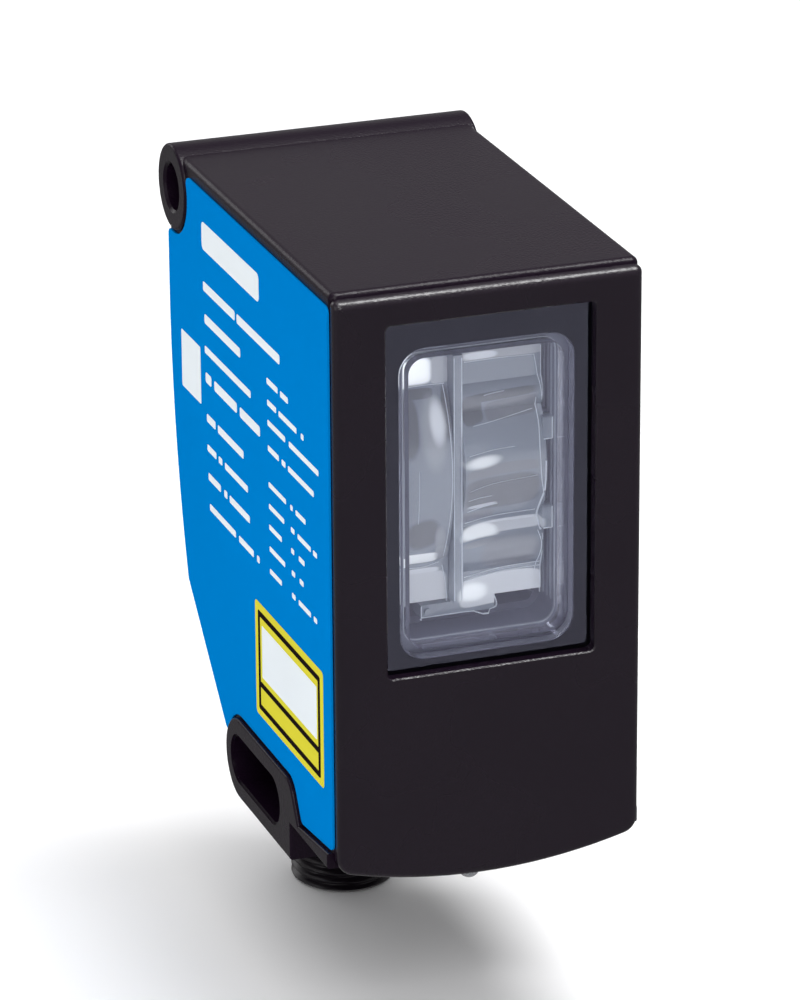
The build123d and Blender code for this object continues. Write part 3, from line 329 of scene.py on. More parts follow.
def spin_profile(bm, profile, axis_y, steps):
    """Closed solid of a profile of radius and height, turned about an upright axis."""
    rings = []
    for radius, z in profile:
        turns = [2 * math.pi * step / steps for step in range(steps)]
        rings.append([bm.verts.new((radius * math.cos(t), axis_y + radius * math.sin(t), z)) for t in turns])
    faces = []
    for index, ring in enumerate(rings):
        following = rings[(index + 1) % len(rings)]
        for step in range(steps):
            after = (step + 1) % steps
            faces.append(bm.faces.new((ring[step], ring[after], following[after], following[step])))
    bmesh.ops.recalc_face_normals(bm, faces=faces)


def front_finder(name):
    """Gives the depth of the front surface of a node at a place across and up, in millimetres."""
    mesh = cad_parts[name].data
    tree = BVHTree.FromPolygons([v.co for v in mesh.vertices], [f.vertices for f in mesh.polygons])
    start = CAD_BOX[0][1] - MM

    def depth(x, z):
        origin = Vector((x * MM, start, z * MM))
        hit = tree.ray_cast(origin, Vector((0, 1, 0)))[0]
        if hit is None:
            hit = tree.find_nearest(origin)[0]
        return hit.y / MM

    return depth


def smooth_line(points, steps):
    """Places on a curve through some points."""
    ends = [points[0], *points, points[-1]]
    line = []
    for before, first, second, after in zip(ends, ends[1:], ends[2:], ends[3:]):
        for step in range(steps):
            t = step / steps
            line.append(tuple(
                0.5 * (2 * b + (c - a) * t + (2 * a - 5 * b + 4 * c - d) * t**2
                       + (3 * b - a - 3 * c + d) * t**3)
                for a, b, c, d in zip(before, first, second, after)))
    return line + [points[-1]]


def add_ridge(bm, points, width, rise, depth):
    """Closed ridge with sloping sides along a line of places across and up, laid on a surface."""
    profile = ((-1, RIDGE_SINK), (-0.5, -rise), (0.5, -rise), (1, RIDGE_SINK))
    rings = []
    for index, (x, z) in enumerate(points):
        before, after = points[max(0, index - 1)], points[min(len(points) - 1, index + 1)]
        way = Vector((after[0] - before[0], after[1] - before[1])).normalized()
        side = Vector((-way.y, way.x)) * width / 2
        y = depth(x, z)
        ring = [(x + side.x * k, y + dy, z + side.y * k) for k, dy in profile]
        rings.append([bm.verts.new(place) for place in ring])
    faces = [bm.faces.new(rings[0]), bm.faces.new(rings[-1])]
    for first, second in zip(rings, rings[1:]):
        for index in range(4):
            after = (index + 1) % 4
            faces.append(bm.faces.new((first[index], first[after], second[after], second[index])))
    bmesh.ops.recalc_face_normals(bm, faces=faces)


# Materials

def add_node(tree, kind, **values):
    """Node of a kind with its settings and unlinked inputs."""
    node = tree.nodes.new(kind)
    for key, value in values.items():
        if key in node.inputs:
            node.inputs[key].default_value = value
        else:
            setattr(node, key, value)
    return node


def calc(tree, operation, *terms):
    """Result of a calculation between numbers and sockets of a tree."""
    node = add_node(tree, "ShaderNodeMath", operation=operation)
    for index, term in enumerate(terms):
        if isinstance(term, (int, float)):
            node.inputs[index].default_value = term
        else:
            tree.links.new(term, node.inputs[index])
    return node.outputs[0]


def patch_group():
    """Shared node group: soft mask of a tilted and bowed field in the X-Z plane, in millimetres, that places
    a painted highlight or painted shade.
    """
    name = "Moulded field"
    if name in bpy.data.node_groups:
        return bpy.data.node_groups[name]
    tree = bpy.data.node_groups.new(name, "ShaderNodeTree")
    for socket in PATCH_INPUTS:
        tree.interface.new_socket(name=socket, in_out="INPUT", socket_type="NodeSocketFloat")
    tree.interface.new_socket(name="Mask", in_out="OUTPUT", socket_type="NodeSocketFloat")
    given = tree.nodes.new("NodeGroupInput").outputs
    result = tree.nodes.new("NodeGroupOutput")
    parts = tree.nodes.new("ShaderNodeSeparateXYZ")
    tree.links.new(tree.nodes.new("ShaderNodeTexCoord").outputs["Object"], parts.inputs[0])
    across = calc(tree, "SUBTRACT", calc(tree, "DIVIDE", parts.outputs["X"], MM), given["Centre X"])
    up = calc(tree, "SUBTRACT", calc(tree, "DIVIDE", parts.outputs["Z"], MM), given["Centre Z"])
    cosine = calc(tree, "COSINE", given["Tilt"])
    sine = calc(tree, "SINE", given["Tilt"])
    along = calc(tree, "ADD", calc(tree, "MULTIPLY", across, cosine), calc(tree, "MULTIPLY", up, sine))
    over = calc(tree, "SUBTRACT", calc(tree, "MULTIPLY", up, cosine), calc(tree, "MULTIPLY", across, sine))
    along = calc(tree, "ABSOLUTE", calc(tree, "DIVIDE", along, given["Half width"]))
    bowed = calc(tree, "MULTIPLY", calc(tree, "MULTIPLY", along, along), given["Bow"])
    over = calc(tree, "ABSOLUTE", calc(tree, "DIVIDE", calc(tree, "ADD", over, bowed), given["Half height"]))
    reach = calc(tree, "ADD", calc(tree, "POWER", along, given["Squareness"]),
                 calc(tree, "POWER", over, given["Squareness"]))
    fade = add_node(tree, "ShaderNodeMapRange", interpolation_type="SMOOTHSTEP")
    tree.links.new(reach, fade.inputs["Value"])
    tree.links.new(calc(tree, "ADD", given["Softness"], 1), fade.inputs["From Min"])
    tree.links.new(calc(tree, "SUBTRACT", 1, given["Softness"]), fade.inputs["From Max"])
    tree.links.new(fade.outputs["Result"], result.inputs["Mask"])
    return tree


def surface_group():
    """Shared node group: slow mottling and fine grain from object coordinates."""
    name = "Surface variation"
    if name in bpy.data.node_groups:
        return bpy.data.node_groups[name]
    tree = bpy.data.node_groups.new(name, "ShaderNodeTree")
    for socket, start in (("Mottle scale", 60.0), ("Grain scale", 2500.0)):
        scale = tree.interface.new_socket(name=socket, in_out="INPUT", socket_type="NodeSocketFloat")
        scale.default_value = start
    for socket in ("Mottle", "Grain"):
        tree.interface.new_socket(name=socket, in_out="OUTPUT", socket_type="NodeSocketFloat")
    given = tree.nodes.new("NodeGroupInput")
    result = tree.nodes.new("NodeGroupOutput")
    place = tree.nodes.new("ShaderNodeTexCoord")
    mottle = add_node(tree, "ShaderNodeTexNoise", Detail=3.0)
    grain = add_node(tree, "ShaderNodeTexNoise", Detail=2.0)
    for source, noise in (("Mottle scale", mottle), ("Grain scale", grain)):
        tree.links.new(place.outputs["Object"], noise.inputs["Vector"])
        tree.links.new(given.outputs[source], noise.inputs["Scale"])
    tree.links.new(mottle.outputs["Fac"], result.inputs["Mottle"])
    tree.links.new(grain.outputs["Fac"], result.inputs["Grain"])
    return tree


def finish_material(name, colour, roughness, spread=0.06, tone=0.15, grain=2500.0, bump=0.05, mottle=60.0,
                    metallic=0.0, specular=0.5, specular_tint=(1.0, 1.0, 1.0), coat=0.0, coat_roughness=0.1,
                    transmission=0.0, ior=1.5, sheen=0.0, painted_light_fields=(), painted_glow=0.0):
    """Material whose colour, roughness and relief change a little over the surface."""
    material = bpy.data.materials.new(name)
    material.use_nodes = True
    tree = material.node_tree
    shader = tree.nodes["Principled BSDF"]
    for socket, value in (("Metallic", metallic), ("Specular IOR Level", specular), ("Coat Weight", coat),
                          ("Coat Roughness", coat_roughness), ("Transmission Weight", transmission),
                          ("IOR", ior), ("Sheen Weight", sheen)):
        shader.inputs[socket].default_value = value
    shader.inputs["Specular Tint"].default_value = (*specular_tint, 1)
    vary = tree.nodes.new("ShaderNodeGroup")
    vary.node_tree = surface_group()
    vary.inputs["Mottle scale"].default_value = mottle
    vary.inputs["Grain scale"].default_value = grain
    blend = add_node(tree, "ShaderNodeMix", data_type="RGBA")
    blend.inputs[6].default_value = (*[c * (1 - tone) for c in colour], 1)
    blend.inputs[7].default_value = (*[min(1, c * (1 + tone)) for c in colour], 1)
    tree.links.new(vary.outputs["Mottle"], blend.inputs["Factor"])
    painted = blend.outputs[2]
    # Fields paint highlights and shade into the colour, and some of them a painted glow into the emission
    painted_emission_mask = 0.0
    for *places, level, share in painted_light_fields:
        mask = tree.nodes.new("ShaderNodeGroup")
        mask.node_tree = patch_group()
        for socket, value in zip(PATCH_INPUTS, places):
            mask.inputs[socket].default_value = value
        over = add_node(tree, "ShaderNodeMix", data_type="RGBA")
        over.inputs[7].default_value = (*[min(1, level * part) for part in PAINTED_LIGHT_TINT], 1)
        tree.links.new(mask.outputs["Mask"], over.inputs["Factor"])
        tree.links.new(painted, over.inputs[6])
        painted = over.outputs[2]
        if share:
            painted_emission_mask = calc(tree, "MAXIMUM", calc(tree, "MULTIPLY", mask.outputs["Mask"], share), painted_emission_mask)
    if painted_light_fields:
        lit = add_node(tree, "ShaderNodeMix", data_type="RGBA")
        lit.inputs[6].default_value = (0, 0, 0, 1)
        lit.inputs[7].default_value = (1, 1, 1, 1)
        tree.links.new(painted_emission_mask, lit.inputs["Factor"])
        tree.links.new(lit.outputs[2], shader.inputs["Emission Color"])
        shader.inputs["Emission Strength"].default_value = painted_glow
    tree.links.new(painted, shader.inputs["Base Color"])
    gloss = tree.nodes.new("ShaderNodeMapRange")
    gloss.inputs["To Min"].default_value = max(0.0, roughness - spread)
    gloss.inputs["To Max"].default_value = min(1.0, roughness + spread)
    tree.links.new(vary.outputs["Mottle"], gloss.inputs["Value"])
    tree.links.new(gloss.outputs["Result"], shader.inputs["Roughness"])
    if bump:
        relief = add_node(tree, "ShaderNodeBump", Strength=bump, Distance=GRAIN_DEPTH * MM)
        tree.links.new(vary.outputs["Grain"], relief.inputs["Height"])
        tree.links.new(relief.outputs["Normal"], shader.inputs["Normal"])
    return material


def paint_dark_floor_reflection(material, level):
    """Paints a dark reflection of the floor: rays mirrored off satin paint see a fixed dark emission, but
    rays through glass do not.
    """
    tree = material.node_tree
    out = tree.nodes["Material Output"]
    dark = add_node(tree, "ShaderNodeEmission", Color=(level, level, level, 1), Strength=1.0)
    mix = tree.nodes.new("ShaderNodeMixShader")
    ray = tree.nodes.new("ShaderNodeLightPath").outputs
    mirrored = calc(tree, "SUBTRACT", ray["Is Glossy Ray"], ray["Is Transmission Ray"])
    mirrored = calc(tree, "SUBTRACT", mirrored, ray["Is Singular Ray"])
    tree.links.new(mirrored, mix.inputs[0])
    tree.links.new(tree.nodes["Principled BSDF"].outputs[0], mix.inputs[1])
    tree.links.new(dark.outputs[0], mix.inputs[2])
    tree.links.new(mix.outputs[0], out.inputs["Surface"])


def dress(name, material):
    """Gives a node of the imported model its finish."""
    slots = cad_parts[name].data.materials
    slots.clear()
    slots.append(material)


# Settings

def colour_setting(name, description, default):
    """Colour property with its starting value."""
    return FloatVectorProperty(name=name, description=description, default=default, size=3, min=0.0, max=1.0,
                               subtype="COLOR")


class BodySettings(bpy.types.PropertyGroup):
    """Paint of the housing, side film and print."""
    paint: colour_setting("Paint", "Colour of the painted housing", (0.0065, 0.0025, 0.0078))
    paint_roughness: FloatProperty(name="Paint roughness", description="Roughness of the paint",
                                   default=0.27, min=0.0, max=1.0, subtype="FACTOR")
    film: colour_setting("Film", "Colour of the side film", (0.0, 0.19, 0.55))
    ink: colour_setting("Ink", "Colour of the printed bars", (0.74, 0.79, 0.82))
    field: colour_setting("Field", "Colour of the pale field", (0.66, 0.6, 0.045))
    frame_line: colour_setting("Frame line", "Colour of the line inside the field", (0.012, 0.008, 0.008))
    ink_thickness: FloatProperty(name="Ink thickness", default=0.03, min=0.005, max=0.1,
                                 description="How far the print stands off the film, in mm")


class OpticsSettings(bpy.types.PropertyGroup):
    """Window, lenses, seal and tray."""
    pane: colour_setting("Pane", "Tint of the window", (0.92, 0.94, 0.99))
    coating: colour_setting("Coating", "Tint of what the coated window mirrors", (0.64, 0.64, 0.86))
    lens: colour_setting("Lens", "Tint of the moulded lenses", (0.38, 0.43, 0.49))
    lens_clearness: FloatProperty(name="Lens clearness", default=0.3, min=0.0, max=1.0, subtype="FACTOR",
                                  description="Share of light that the lenses let through")
    # Strength of the painted glow given off by the fields of painted highlight on the lenses
    painted_glow: FloatProperty(name="Glow", description="Light that the milky fields gather and give off",
                        default=0.62, min=0.0, max=2.0)
    seal: colour_setting("Seal", "Colour of the seal behind the pane", (0.1, 0.1, 0.16))
    tray: colour_setting("Tray", "Colour of the tray round the lenses", (0.12, 0.13, 0.18))


class ThreadSettings(bpy.types.PropertyGroup):
    """Thread of the plug."""
    pitch: FloatProperty(name="Pitch", description="Rise of one turn, in mm", default=1.0, min=0.3, max=3.0)
    depth: FloatProperty(name="Depth", description="Depth of the groove, in mm", default=0.55, min=0.05,
                         max=1.0)
    columns: IntProperty(name="Columns", description="Faces round the thread", default=72, min=12, max=256)
    rows: IntProperty(name="Rows", description="Faces along the thread", default=96, min=12, max=400)


class StageSettings(bpy.types.PropertyGroup):
    """Floor and lights."""
    floor: colour_setting("Floor", "Colour of the floor", (0.93, 0.93, 0.94))
    floor_in_gloss: FloatProperty(name="Floor in gloss", default=0.26, min=0.0, max=1.0, subtype="FACTOR",
                                  description="How light the floor looks in glossy paint")
    surround: FloatProperty(name="Surround", description="Strength of the light from all round",
                            default=0.36, min=0.0, max=5.0)
    top_light: FloatProperty(name="Top light", description="Power of the light above", default=4.6, min=0.0,
                             max=500.0, subtype="POWER", unit="POWER")
    side_light: FloatProperty(name="Side light", description="Power of the light at the left", default=0.9,
                              min=0.0, max=500.0, subtype="POWER", unit="POWER")
    front_light: FloatProperty(name="Front light", description="Power of the light in front", default=2.3,
                               min=0.0, max=500.0, subtype="POWER", unit="POWER")
    sky_light: FloatProperty(name="Sky light", description="Power of the wide light overhead", default=9.0,
                             min=0.0, max=500.0, subtype="POWER", unit="POWER")
    back_light: FloatProperty(name="Back light", description="Power of the light behind", default=0.7,
                              min=0.0, max=500.0, subtype="POWER", unit="POWER")


# Operators

class SENSOR_OT_body(bpy.types.Operator):
    """Paints the housing, cover and elbow, and finishes the film and rubber parts."""
    bl_idname = "sensor.body"
    bl_label = "Body"

    def execute(self, context):
        values = context.scene.sensor_body
        paint = finish_material("satin_black_paint", values.paint, values.paint_roughness, spread=0.05,
                                grain=3600.0, bump=0.9, specular=0.14)
        for name in ("housing", "connector_elbow"):
            dress(name, paint)
        dress("front_cover", finish_material("cover_paint", values.paint, values.paint_roughness,
                                             spread=0.05, grain=3600.0, bump=1.0, specular=0.5))
        dress("side_label", finish_material("satin_blue_film", values.film, 0.5, spread=0.04, tone=0.03,
                                            grain=1800.0, bump=0.03, specular=0.0))
        rubber = finish_material("black_rubber", (0.018, 0.018, 0.02), 0.7, grain=1500.0, bump=0.2,
                                 sheen=0.1)
        for name in ("panel_seal", "return_dome", "swivel_seal"):
            dress(name, rubber)
        dome = bpy.data.objects.new("soft_dome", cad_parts["return_dome"].data.copy())
        context.scene.collection.objects.link(dome)
        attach(dome, BODY)
        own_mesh(dome)
        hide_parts("return_dome")
        dress("swivel_clip", finish_material("spring_steel", (0.45, 0.45, 0.46), 0.32, metallic=1.0,
                                             grain=900.0))
        return {"FINISHED"}


class SENSOR_OT_print(bpy.types.Operator):
    """Lays plain printed bars and fields of colour on the side film."""
    bl_idname = "sensor.print"
    bl_label = "Print"

    def execute(self, context):
        values = context.scene.sensor_body
        face = edges_of("side_label")[0].x
        top = face - values.ink_thickness
        ink = finish_material("white_ink", values.ink, 0.5, tone=0.04, bump=0.03, specular=0.0)
        pale = finish_material("pale_yellow_ink", values.field, 0.45, tone=0.03, bump=0.03, specular=0.0)
        dark = finish_material("dark_ink", values.frame_line, 0.4, tone=0.1, bump=0.03, specular=0.0)
        bm = bmesh.new()
        for height, low, bars in LEFT_LINES + RIGHT_LINES:
            for start, end in bars:
                middle = low + height / 2
                reach = height * BAR_SHARE / 2
                add_plate(bm, field(start, end, middle - reach, middle + reach, reach / 2), face, top)
        new_piece("print_bars", bm, ink, BODY, smooth=False)
        bm = bmesh.new()
        for block in PALE_BLOCKS:
            add_plate(bm, field(*block), face, top)
        new_piece("print_blocks", bm, ink, BODY, smooth=False)
        bm = bmesh.new()
        add_plate(bm, field(*YELLOW_FIELD), face, top)
        new_piece("print_field", bm, pale, BODY, smooth=False)
        upper = top - values.ink_thickness
        bm = bmesh.new()
        add_frame(bm, field(*LINE_OUTSIDE), field(*LINE_INSIDE), top, upper)
        add_plate(bm, field(*LINE_ACROSS), top, upper)
        new_piece("print_frame", bm, dark, BODY, smooth=False)
        bm = bmesh.new()
        add_plate(bm, field(*PALE_PANEL), top, upper)
        new_piece("print_panel", bm, ink, BODY, smooth=False)
        return {"FINISHED"}


class SENSOR_OT_window(bpy.types.Operator):
    """Finishes the clear pane and the slate seal behind it."""
    bl_idname = "sensor.window"
    bl_label = "Window"

    def execute(self, context):
        values = context.scene.sensor_optics
        dress("window_pane", finish_material("clear_pane", values.pane, 0.0, spread=0.0, tone=0.01, bump=0.0,
                                             transmission=1.0, ior=PLASTIC_IOR,
                                             specular_tint=values.coating))
        dress("window_seal", finish_material("slate_seal", values.seal, 0.6, tone=0.05, bump=0.0,
                                             specular=0.1))
        return {"FINISHED"}


class SENSOR_OT_optics(bpy.types.Operator):
    """Finishes the moulded lenses and the tray that holds them."""
    bl_idname = "sensor.optics"
    bl_label = "Optics"

    def execute(self, context):
        values = context.scene.sensor_optics
        # Pale ridges on the lenses and hooks carry painted highlights
        edge = finish_material("frosted_edge", (0.8, 0.85, 0.9), 0.2, tone=0.08, grain=900.0, bump=0.05,
                               coat=0.5)
        for name, painted_light_fields, highlight_lines in (("emitter_lens", EMITTER_PAINTED_LIGHT, EMITTER_HIGHLIGHT_LINES),
                                    ("receiver_lens", RECEIVER_PAINTED_LIGHT, RECEIVER_HIGHLIGHT_LINES)):
            # The lens moulding carries painted highlights, painted shade and a painted glow in its fields
            dress(name, finish_material(
                name + "_moulding", values.lens, 0.08, spread=0.04, tone=0.06, grain=900.0, bump=0.04,
                mottle=120.0, transmission=values.lens_clearness, ior=PLASTIC_IOR, coat=0.6,
                coat_roughness=0.04, painted_light_fields=painted_light_fields, painted_glow=values.painted_glow))
            bm = bmesh.new()
            depth = front_finder(name)
            for width, points in highlight_lines:
                add_ridge(bm, smooth_line(points, CURVE_STEPS), width, EDGE_RISE, depth)
            if name == "receiver_lens":
                for level in HOOK_LEVELS:
                    rim = [(x, level + up) for x, up in HOOK_RIM]
                    add_ridge(bm, rim, HOOK_RIM_WIDTH, HOOK_RIM_RISE, lambda x, z: HOOK_DEPTHS[0])
            piece = new_piece(name + "_edges", bm, edge, BODY)
            shade_by_angle(piece, CREASE_ANGLE)
        bm = bmesh.new()
        for level in HOOK_LEVELS:
            outline = field(*HOOK_DEPTHS, level - HOOK_REACH, level + HOOK_REACH, HOOK_CORNER)
            add_plate(bm, outline, *HOOK_ENDS)
        hooks = new_piece("receiver_lens_hooks", bm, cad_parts["receiver_lens"].data.materials[0], BODY)
        shade_by_angle(hooks, CREASE_ANGLE)
        # Pale beads round the tray's mouth, along its foot and down its wall carry painted highlights
        holder = front_finder("lens_holder")
        bm = bmesh.new()
        mouth = rounded_rectangle(*MOUTH_SIZE, MOUTH_CORNER, CURVE_STEPS)
        mouth = [(MOUTH_MIDDLE[0] + x, MOUTH_MIDDLE[1] + z) for x, z in mouth]
        flange = holder(*FLANGE_PLACE)
        add_ridge(bm, mouth + mouth[:1], MOUTH_WIDTH, BEAD_RISE, lambda x, z: flange)
        add_ridge(bm, FOOT_LINE, FOOT_WIDTH, FOOT_RISE, holder)
        for depth, width in WALL_RIBS:
            add_ridge(bm, WALL_LINE, width, BEAD_RISE, lambda x, z, y=depth: y)
        bead = new_piece("tray_edges", bm, finish_material("tray_bead", (0.34, 0.37, 0.43), 0.25, tone=0.1,
                                                           bump=0.05, coat=0.5), BODY)
        shade_by_angle(bead, CREASE_ANGLE)
        dress("lens_holder", finish_material("tray_plastic", values.tray, 0.42, grain=1500.0, bump=0.12))
        dress("baffle_plate", finish_material("baffle_black", (0.015, 0.015, 0.016), 0.75, bump=0.2))
        dress("bottom_light_guide", finish_material("clear_dome", (0.85, 0.87, 0.9), 0.06, bump=0.0,
                                                    tone=0.02, transmission=0.8, ior=PLASTIC_IOR))
        return {"FINISHED"}


class SENSOR_OT_boards(bpy.types.Operator):
    """Finishes the circuit boards and what they carry."""
    bl_idname = "sensor.boards"
    bl_label = "Boards"

    def execute(self, context):
        board = finish_material("solder_resist", (0.012, 0.11, 0.045), 0.35, tone=0.3, grain=700.0,
                                bump=0.25, mottle=400.0, coat=0.3)
        chip = finish_material("chip_moulding", (0.025, 0.025, 0.026), 0.6, bump=0.2)
        resin = finish_material("milky_resin", (0.85, 0.83, 0.75), 0.25, coat=0.4, bump=0.02)
        cream = finish_material("cream_moulding", (0.72, 0.69, 0.58), 0.45, bump=0.08)
        steel = finish_material("plated_steel", (0.6, 0.6, 0.61), 0.28, metallic=1.0, grain=1200.0)
        amber = finish_material("amber_film", (0.5, 0.22, 0.035), 0.3, coat=0.3, bump=0.02)
        finishes = {
            board: ("optics_board", "main_board"),
            chip: ("receiver_chip", "processor_chip", "key_switch"),
            resin: ("emitter_leds", "status_leds"),
            cream: ("optics_socket", "main_socket"),
            steel: ("optics_screws",),
            amber: ("ribbon_link",),
        }
        for material, names in finishes.items():
            for name in names:
                dress(name, material)
        return {"FINISHED"}


class SENSOR_OT_rear(bpy.types.Operator):
    """Finishes the rear panel with its button and indicators."""
    bl_idname = "sensor.rear"
    bl_label = "Rear panel"

    def execute(self, context):
        dress("rear_panel", finish_material("panel_moulding", (0.03, 0.03, 0.034), 0.5, grain=1400.0,
                                            bump=0.3))
        dress("teach_button", finish_material("button_moulding", (0.16, 0.17, 0.18), 0.5, grain=1600.0,
                                              bump=0.25))
        for name, tint_name, tint in (("power_light_guide", "green_guide", (0.2, 0.75, 0.32)),
                                      ("output_light_guide", "amber_guide", (0.95, 0.6, 0.12))):
            dress(name, finish_material(tint_name, tint, 0.12, bump=0.0, tone=0.04, transmission=0.6,
                                        ior=PLASTIC_IOR))
        return {"FINISHED"}


def thread_tree():
    """Node tree of a tube with a helical outer skin. Its rows run up the skin and down the bore."""
    tree = bpy.data.node_groups.new("Helical thread", "GeometryNodeTree")
    tree.interface.new_socket(name="Geometry", in_out="OUTPUT", socket_type="NodeSocketGeometry")
    tree.interface.new_socket(name="Geometry", in_out="INPUT", socket_type="NodeSocketGeometry")
    for name in ("Radius", "Depth", "Pitch", "Length", "Bore", "Chamfer", "Axis Y", "Lower end"):
        tree.interface.new_socket(name=name, in_out="INPUT", socket_type="NodeSocketFloat")
    for name in ("Columns", "Rows"):
        tree.interface.new_socket(name=name, in_out="INPUT", socket_type="NodeSocketInt")
    tree.interface.new_socket(name="Finish", in_out="INPUT", socket_type="NodeSocketMaterial")
    given = tree.nodes.new("NodeGroupInput").outputs
    result = tree.nodes.new("NodeGroupOutput")

    grid = add_node(tree, "GeometryNodeMeshGrid")
    grid.inputs["Size X"].default_value = 1.0
    grid.inputs["Size Y"].default_value = 1.0
    tree.links.new(calc(tree, "ADD", given["Columns"], 1), grid.inputs["Vertices X"])
    tree.links.new(calc(tree, "ADD", given["Rows"], 3), grid.inputs["Vertices Y"])
    parts = tree.nodes.new("ShaderNodeSeparateXYZ")
    tree.links.new(tree.nodes.new("GeometryNodeInputPosition").outputs[0], parts.inputs[0])
    share = calc(tree, "ADD", parts.outputs["X"], 0.5)
    angle = calc(tree, "MULTIPLY", share, 2 * math.pi)
    row = calc(tree, "ADD", parts.outputs["Y"], 0.5)
    row = calc(tree, "MULTIPLY", row, calc(tree, "ADD", given["Rows"], 2))
    climb = calc(tree, "DIVIDE", calc(tree, "SUBTRACT", row, 1), calc(tree, "SUBTRACT", given["Rows"], 1))
    climb = calc(tree, "MINIMUM", calc(tree, "MAXIMUM", climb, 0), 1)
    last = calc(tree, "LESS_THAN", row, calc(tree, "ADD", given["Rows"], 1.5))
    height = calc(tree, "MULTIPLY", calc(tree, "MULTIPLY", climb, last), given["Length"])
    turn = calc(tree, "ADD", calc(tree, "DIVIDE", height, given["Pitch"]), share)
    wave = calc(tree, "MULTIPLY", calc(tree, "PINGPONG", turn, 0.5), 2)
    wave = calc(tree, "MULTIPLY", calc(tree, "SUBTRACT", wave, CREST_SHARE), FLANK_SLOPE)
    wave = calc(tree, "MINIMUM", calc(tree, "MAXIMUM", wave, 0), 1)
    run_out = calc(tree, "DIVIDE", calc(tree, "SUBTRACT", given["Length"], height), given["Pitch"])
    groove = calc(tree, "MULTIPLY", wave, given["Depth"])
    groove = calc(tree, "MULTIPLY", groove, calc(tree, "MINIMUM", run_out, 1))
    skin = calc(tree, "SUBTRACT", given["Radius"], groove)
    cone = calc(tree, "ADD", calc(tree, "SUBTRACT", given["Radius"], given["Chamfer"]), height)
    skin = calc(tree, "MINIMUM", skin, cone)
    lowest = calc(tree, "LESS_THAN", row, 0.5)
    highest = calc(tree, "GREATER_THAN", row, calc(tree, "ADD", given["Rows"], 0.5))
    inside = calc(tree, "ADD", lowest, highest)
    inwards = calc(tree, "MULTIPLY", inside, calc(tree, "SUBTRACT", given["Bore"], skin))
    skin = calc(tree, "ADD", skin, inwards)
    across = calc(tree, "MULTIPLY", skin, calc(tree, "COSINE", angle))
    back = calc(tree, "MULTIPLY", skin, calc(tree, "SINE", angle))
    place = tree.nodes.new("ShaderNodeCombineXYZ")
    tree.links.new(across, place.inputs["X"])
    tree.links.new(calc(tree, "ADD", given["Axis Y"], back), place.inputs["Y"])
    tree.links.new(calc(tree, "ADD", given["Lower end"], height), place.inputs["Z"])
    bend = tree.nodes.new("GeometryNodeSetPosition")
    tree.links.new(grid.outputs["Mesh"], bend.inputs["Geometry"])
    tree.links.new(place.outputs[0], bend.inputs["Position"])
    weld = add_node(tree, "GeometryNodeMergeByDistance", Distance=WELD_DISTANCE)
    tree.links.new(bend.outputs[0], weld.inputs["Geometry"])
    real = tree.nodes.new("GeometryNodeRealizeInstances")
    tree.links.new(weld.outputs[0], real.inputs[0])
    coloured = tree.nodes.new("GeometryNodeSetMaterial")
    tree.links.new(real.outputs[0], coloured.inputs["Geometry"])
    tree.links.new(given["Finish"], coloured.inputs["Material"])
    tree.links.new(coloured.outputs[0], result.inputs[0])
    return tree


def evaluated_bmesh(name, tree, values):
    """Plain bmesh of a node tree with its named inputs."""
    carrier = bpy.data.objects.new(name, bpy.data.meshes.new(name))
    bpy.context.scene.collection.objects.link(carrier)
    modifier = carrier.modifiers.new("Nodes", "NODES")
    modifier.node_group = tree
    for item in tree.interface.items_tree:
        if item.in_out == "INPUT" and item.name in values:
            modifier[item.identifier] = values[item.name]
    graph = bpy.context.evaluated_depsgraph_get()
    mesh = bpy.data.meshes.new_from_object(carrier.evaluated_get(graph))
    bpy.data.objects.remove(carrier)
    bm = bmesh.new()
    bm.from_mesh(mesh)
    bpy.data.meshes.remove(mesh)
    return bm


class SENSOR_OT_plug(bpy.types.Operator):
    """Cuts the helical thread of the plug and finishes its insulator and pins."""
    bl_idname = "sensor.plug"
    bl_label = "Plug"

    def execute(self, context):
        values = context.scene.sensor_thread
        metal = finish_material("blackened_metal", (0.008, 0.005, 0.009), 0.36, grain=1500.0, bump=0.1,
                                metallic=0.3)
        low, high = edges_of("thread_sleeve")
        axis_y = (low.y + high.y) / 2
        insert = edges_of("contact_insert")
        bore = (insert[1].x - insert[0].x) / 2
        collar_radius = (high.x - low.x) / 2
        collar_top = high.z - SHANK_LENGTH
        thread_top = collar_top - COLLAR_LENGTH
        bm = evaluated_bmesh("thread", thread_tree(), {
            "Radius": THREAD_RADIUS, "Depth": values.depth, "Pitch": values.pitch,
            "Length": thread_top - low.z, "Bore": bore, "Chamfer": THREAD_CHAMFER, "Axis Y": axis_y,
            "Lower end": low.z, "Columns": values.columns, "Rows": values.rows, "Finish": metal})
        spin_profile(bm, (
            (bore, thread_top - THREAD_OVERLAP), (collar_radius - COLLAR_ROUNDING, thread_top),
            (collar_radius, thread_top + COLLAR_ROUNDING), (collar_radius, collar_top - COLLAR_ROUNDING),
            (collar_radius - COLLAR_ROUNDING, collar_top), (SHANK_RADIUS, collar_top),
            (SHANK_RADIUS, high.z), (bore, high.z)), axis_y, values.columns)
        bmesh.ops.recalc_face_normals(bm, faces=bm.faces)
        sleeve = new_piece("threaded_sleeve", bm, metal, PLUG)
        shade_by_angle(sleeve, SLEEVE_CREASE_ANGLE)
        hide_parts("thread_sleeve")
        dress("contact_insert", finish_material("insert_moulding", (0.02, 0.02, 0.021), 0.5, bump=0.15))
        dress("contact_pins", finish_material("gold_plating", (0.83, 0.6, 0.22), 0.22, metallic=1.0,
                                              grain=1500.0))
        return {"FINISHED"}


def area_light(name, power, size, place):
    """Soft rectangular light that looks at the middle of the part."""
    data = bpy.data.lights.new(name, "AREA")
    data.shape = "RECTANGLE"
    data.size, data.size_y = size
    data.energy = power
    light = bpy.data.objects.new(name, data)
    bpy.context.scene.collection.objects.link(light)
    light.location = place
    light.rotation_euler = (Vector(LIGHT_TARGET) - Vector(place)).to_track_quat("-Z", "Y").to_euler()


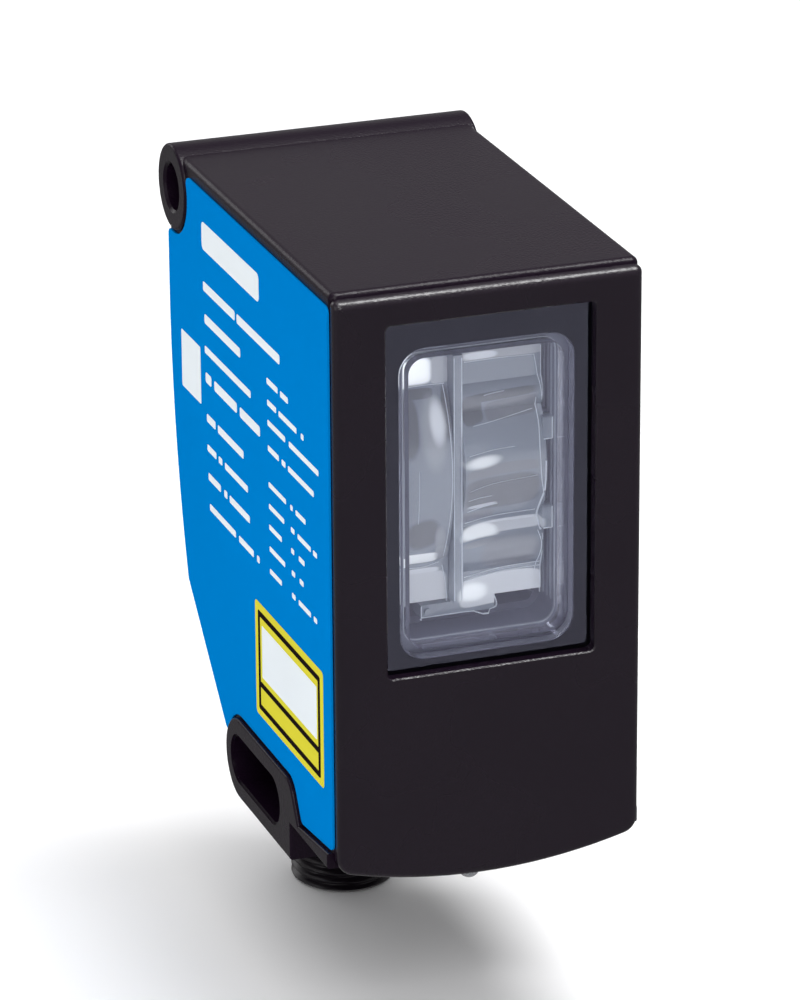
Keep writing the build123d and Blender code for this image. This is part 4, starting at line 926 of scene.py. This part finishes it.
class SENSOR_OT_stage(bpy.types.Operator):
    """Sets the pale floor, the soft studio light and the camera."""
    bl_idname = "sensor.stage"
    bl_label = "Studio"

    def execute(self, context):
        values = context.scene.sensor_stage
        scene = context.scene
        bm = bmesh.new()
        bmesh.ops.create_grid(bm, x_segments=1, y_segments=1, size=FLOOR_REACH)
        bmesh.ops.translate(bm, vec=(0, 0, CAD_BOX[0][2]), verts=bm.verts)
        mesh = bpy.data.meshes.new("floor")
        bm.to_mesh(mesh)
        bm.free()
        floor = bpy.data.objects.new("floor", mesh)
        scene.collection.objects.link(floor)
        pale = finish_material("pale_floor", values.floor, 0.7, tone=0.01, bump=0.0, mottle=2.0,
                               specular=0.2)
        # The floor's reflection in satin paint is painted dark
        paint_dark_floor_reflection(pale, values.floor_in_gloss)
        mesh.materials.append(pale)
        world = bpy.data.worlds.new("studio")
        world.use_nodes = True
        background = world.node_tree.nodes["Background"]
        background.inputs["Color"].default_value = (1, 1, 1, 1)
        background.inputs["Strength"].default_value = values.surround
        scene.world = world
        for side, size, place in LIGHTS:
            area_light("light_" + side, getattr(values, side + "_light"), size, place)
        data = bpy.data.cameras.new("camera")
        data.sensor_width = CAMERA_FILM
        data.lens = CAMERA_LENS
        data.clip_start, data.clip_end = CAMERA_CLIP
        camera = bpy.data.objects.new("camera", data)
        scene.collection.objects.link(camera)
        camera.matrix_world = Matrix.Translation(CAMERA_PLACE) @ Matrix(CAMERA_TURN).to_4x4()
        scene.camera = camera
        scene.view_settings.view_transform = "Standard"
        return {"FINISHED"}


# Panel and registration

class SENSOR_PT_panel(bpy.types.Panel):
    """Settings and operators in the sidebar."""
    bl_idname = "SENSOR_PT_panel"
    bl_label = "Optical sensor"
    bl_space_type = "VIEW_3D"
    bl_region_type = "UI"
    bl_category = "Sensor"

    def draw(self, context):
        scene = context.scene
        for group in (scene.sensor_body, scene.sensor_optics, scene.sensor_thread, scene.sensor_stage):
            box = self.layout.box()
            for name in group.__annotations__:
                box.prop(group, name)
        for operator in OPERATORS:
            self.layout.operator(operator.bl_idname)


SETTINGS = {"sensor_body": BodySettings, "sensor_optics": OpticsSettings, "sensor_thread": ThreadSettings,
            "sensor_stage": StageSettings}
OPERATORS = (SENSOR_OT_body, SENSOR_OT_print, SENSOR_OT_window, SENSOR_OT_optics, SENSOR_OT_boards,
             SENSOR_OT_rear, SENSOR_OT_plug, SENSOR_OT_stage)


def register():
    """Registers the classes and hangs the settings on the scene."""
    for group in (*SETTINGS.values(), *OPERATORS, SENSOR_PT_panel):
        bpy.utils.register_class(group)
    for name, group in SETTINGS.items():
        setattr(bpy.types.Scene, name, PointerProperty(type=group))


def unregister():
    """Takes the settings off the scene and the classes out of Blender."""
    for name in SETTINGS:
        delattr(bpy.types.Scene, name)
    for group in (SENSOR_PT_panel, *reversed(OPERATORS), *SETTINGS.values()):
        bpy.utils.unregister_class(group)


def main():
    """Builds the whole scene."""
    register()
    for operator in OPERATORS:
        namespace, name = operator.bl_idname.split(".")
        getattr(getattr(bpy.ops, namespace), name)()


if __name__ == "__main__":
    main()
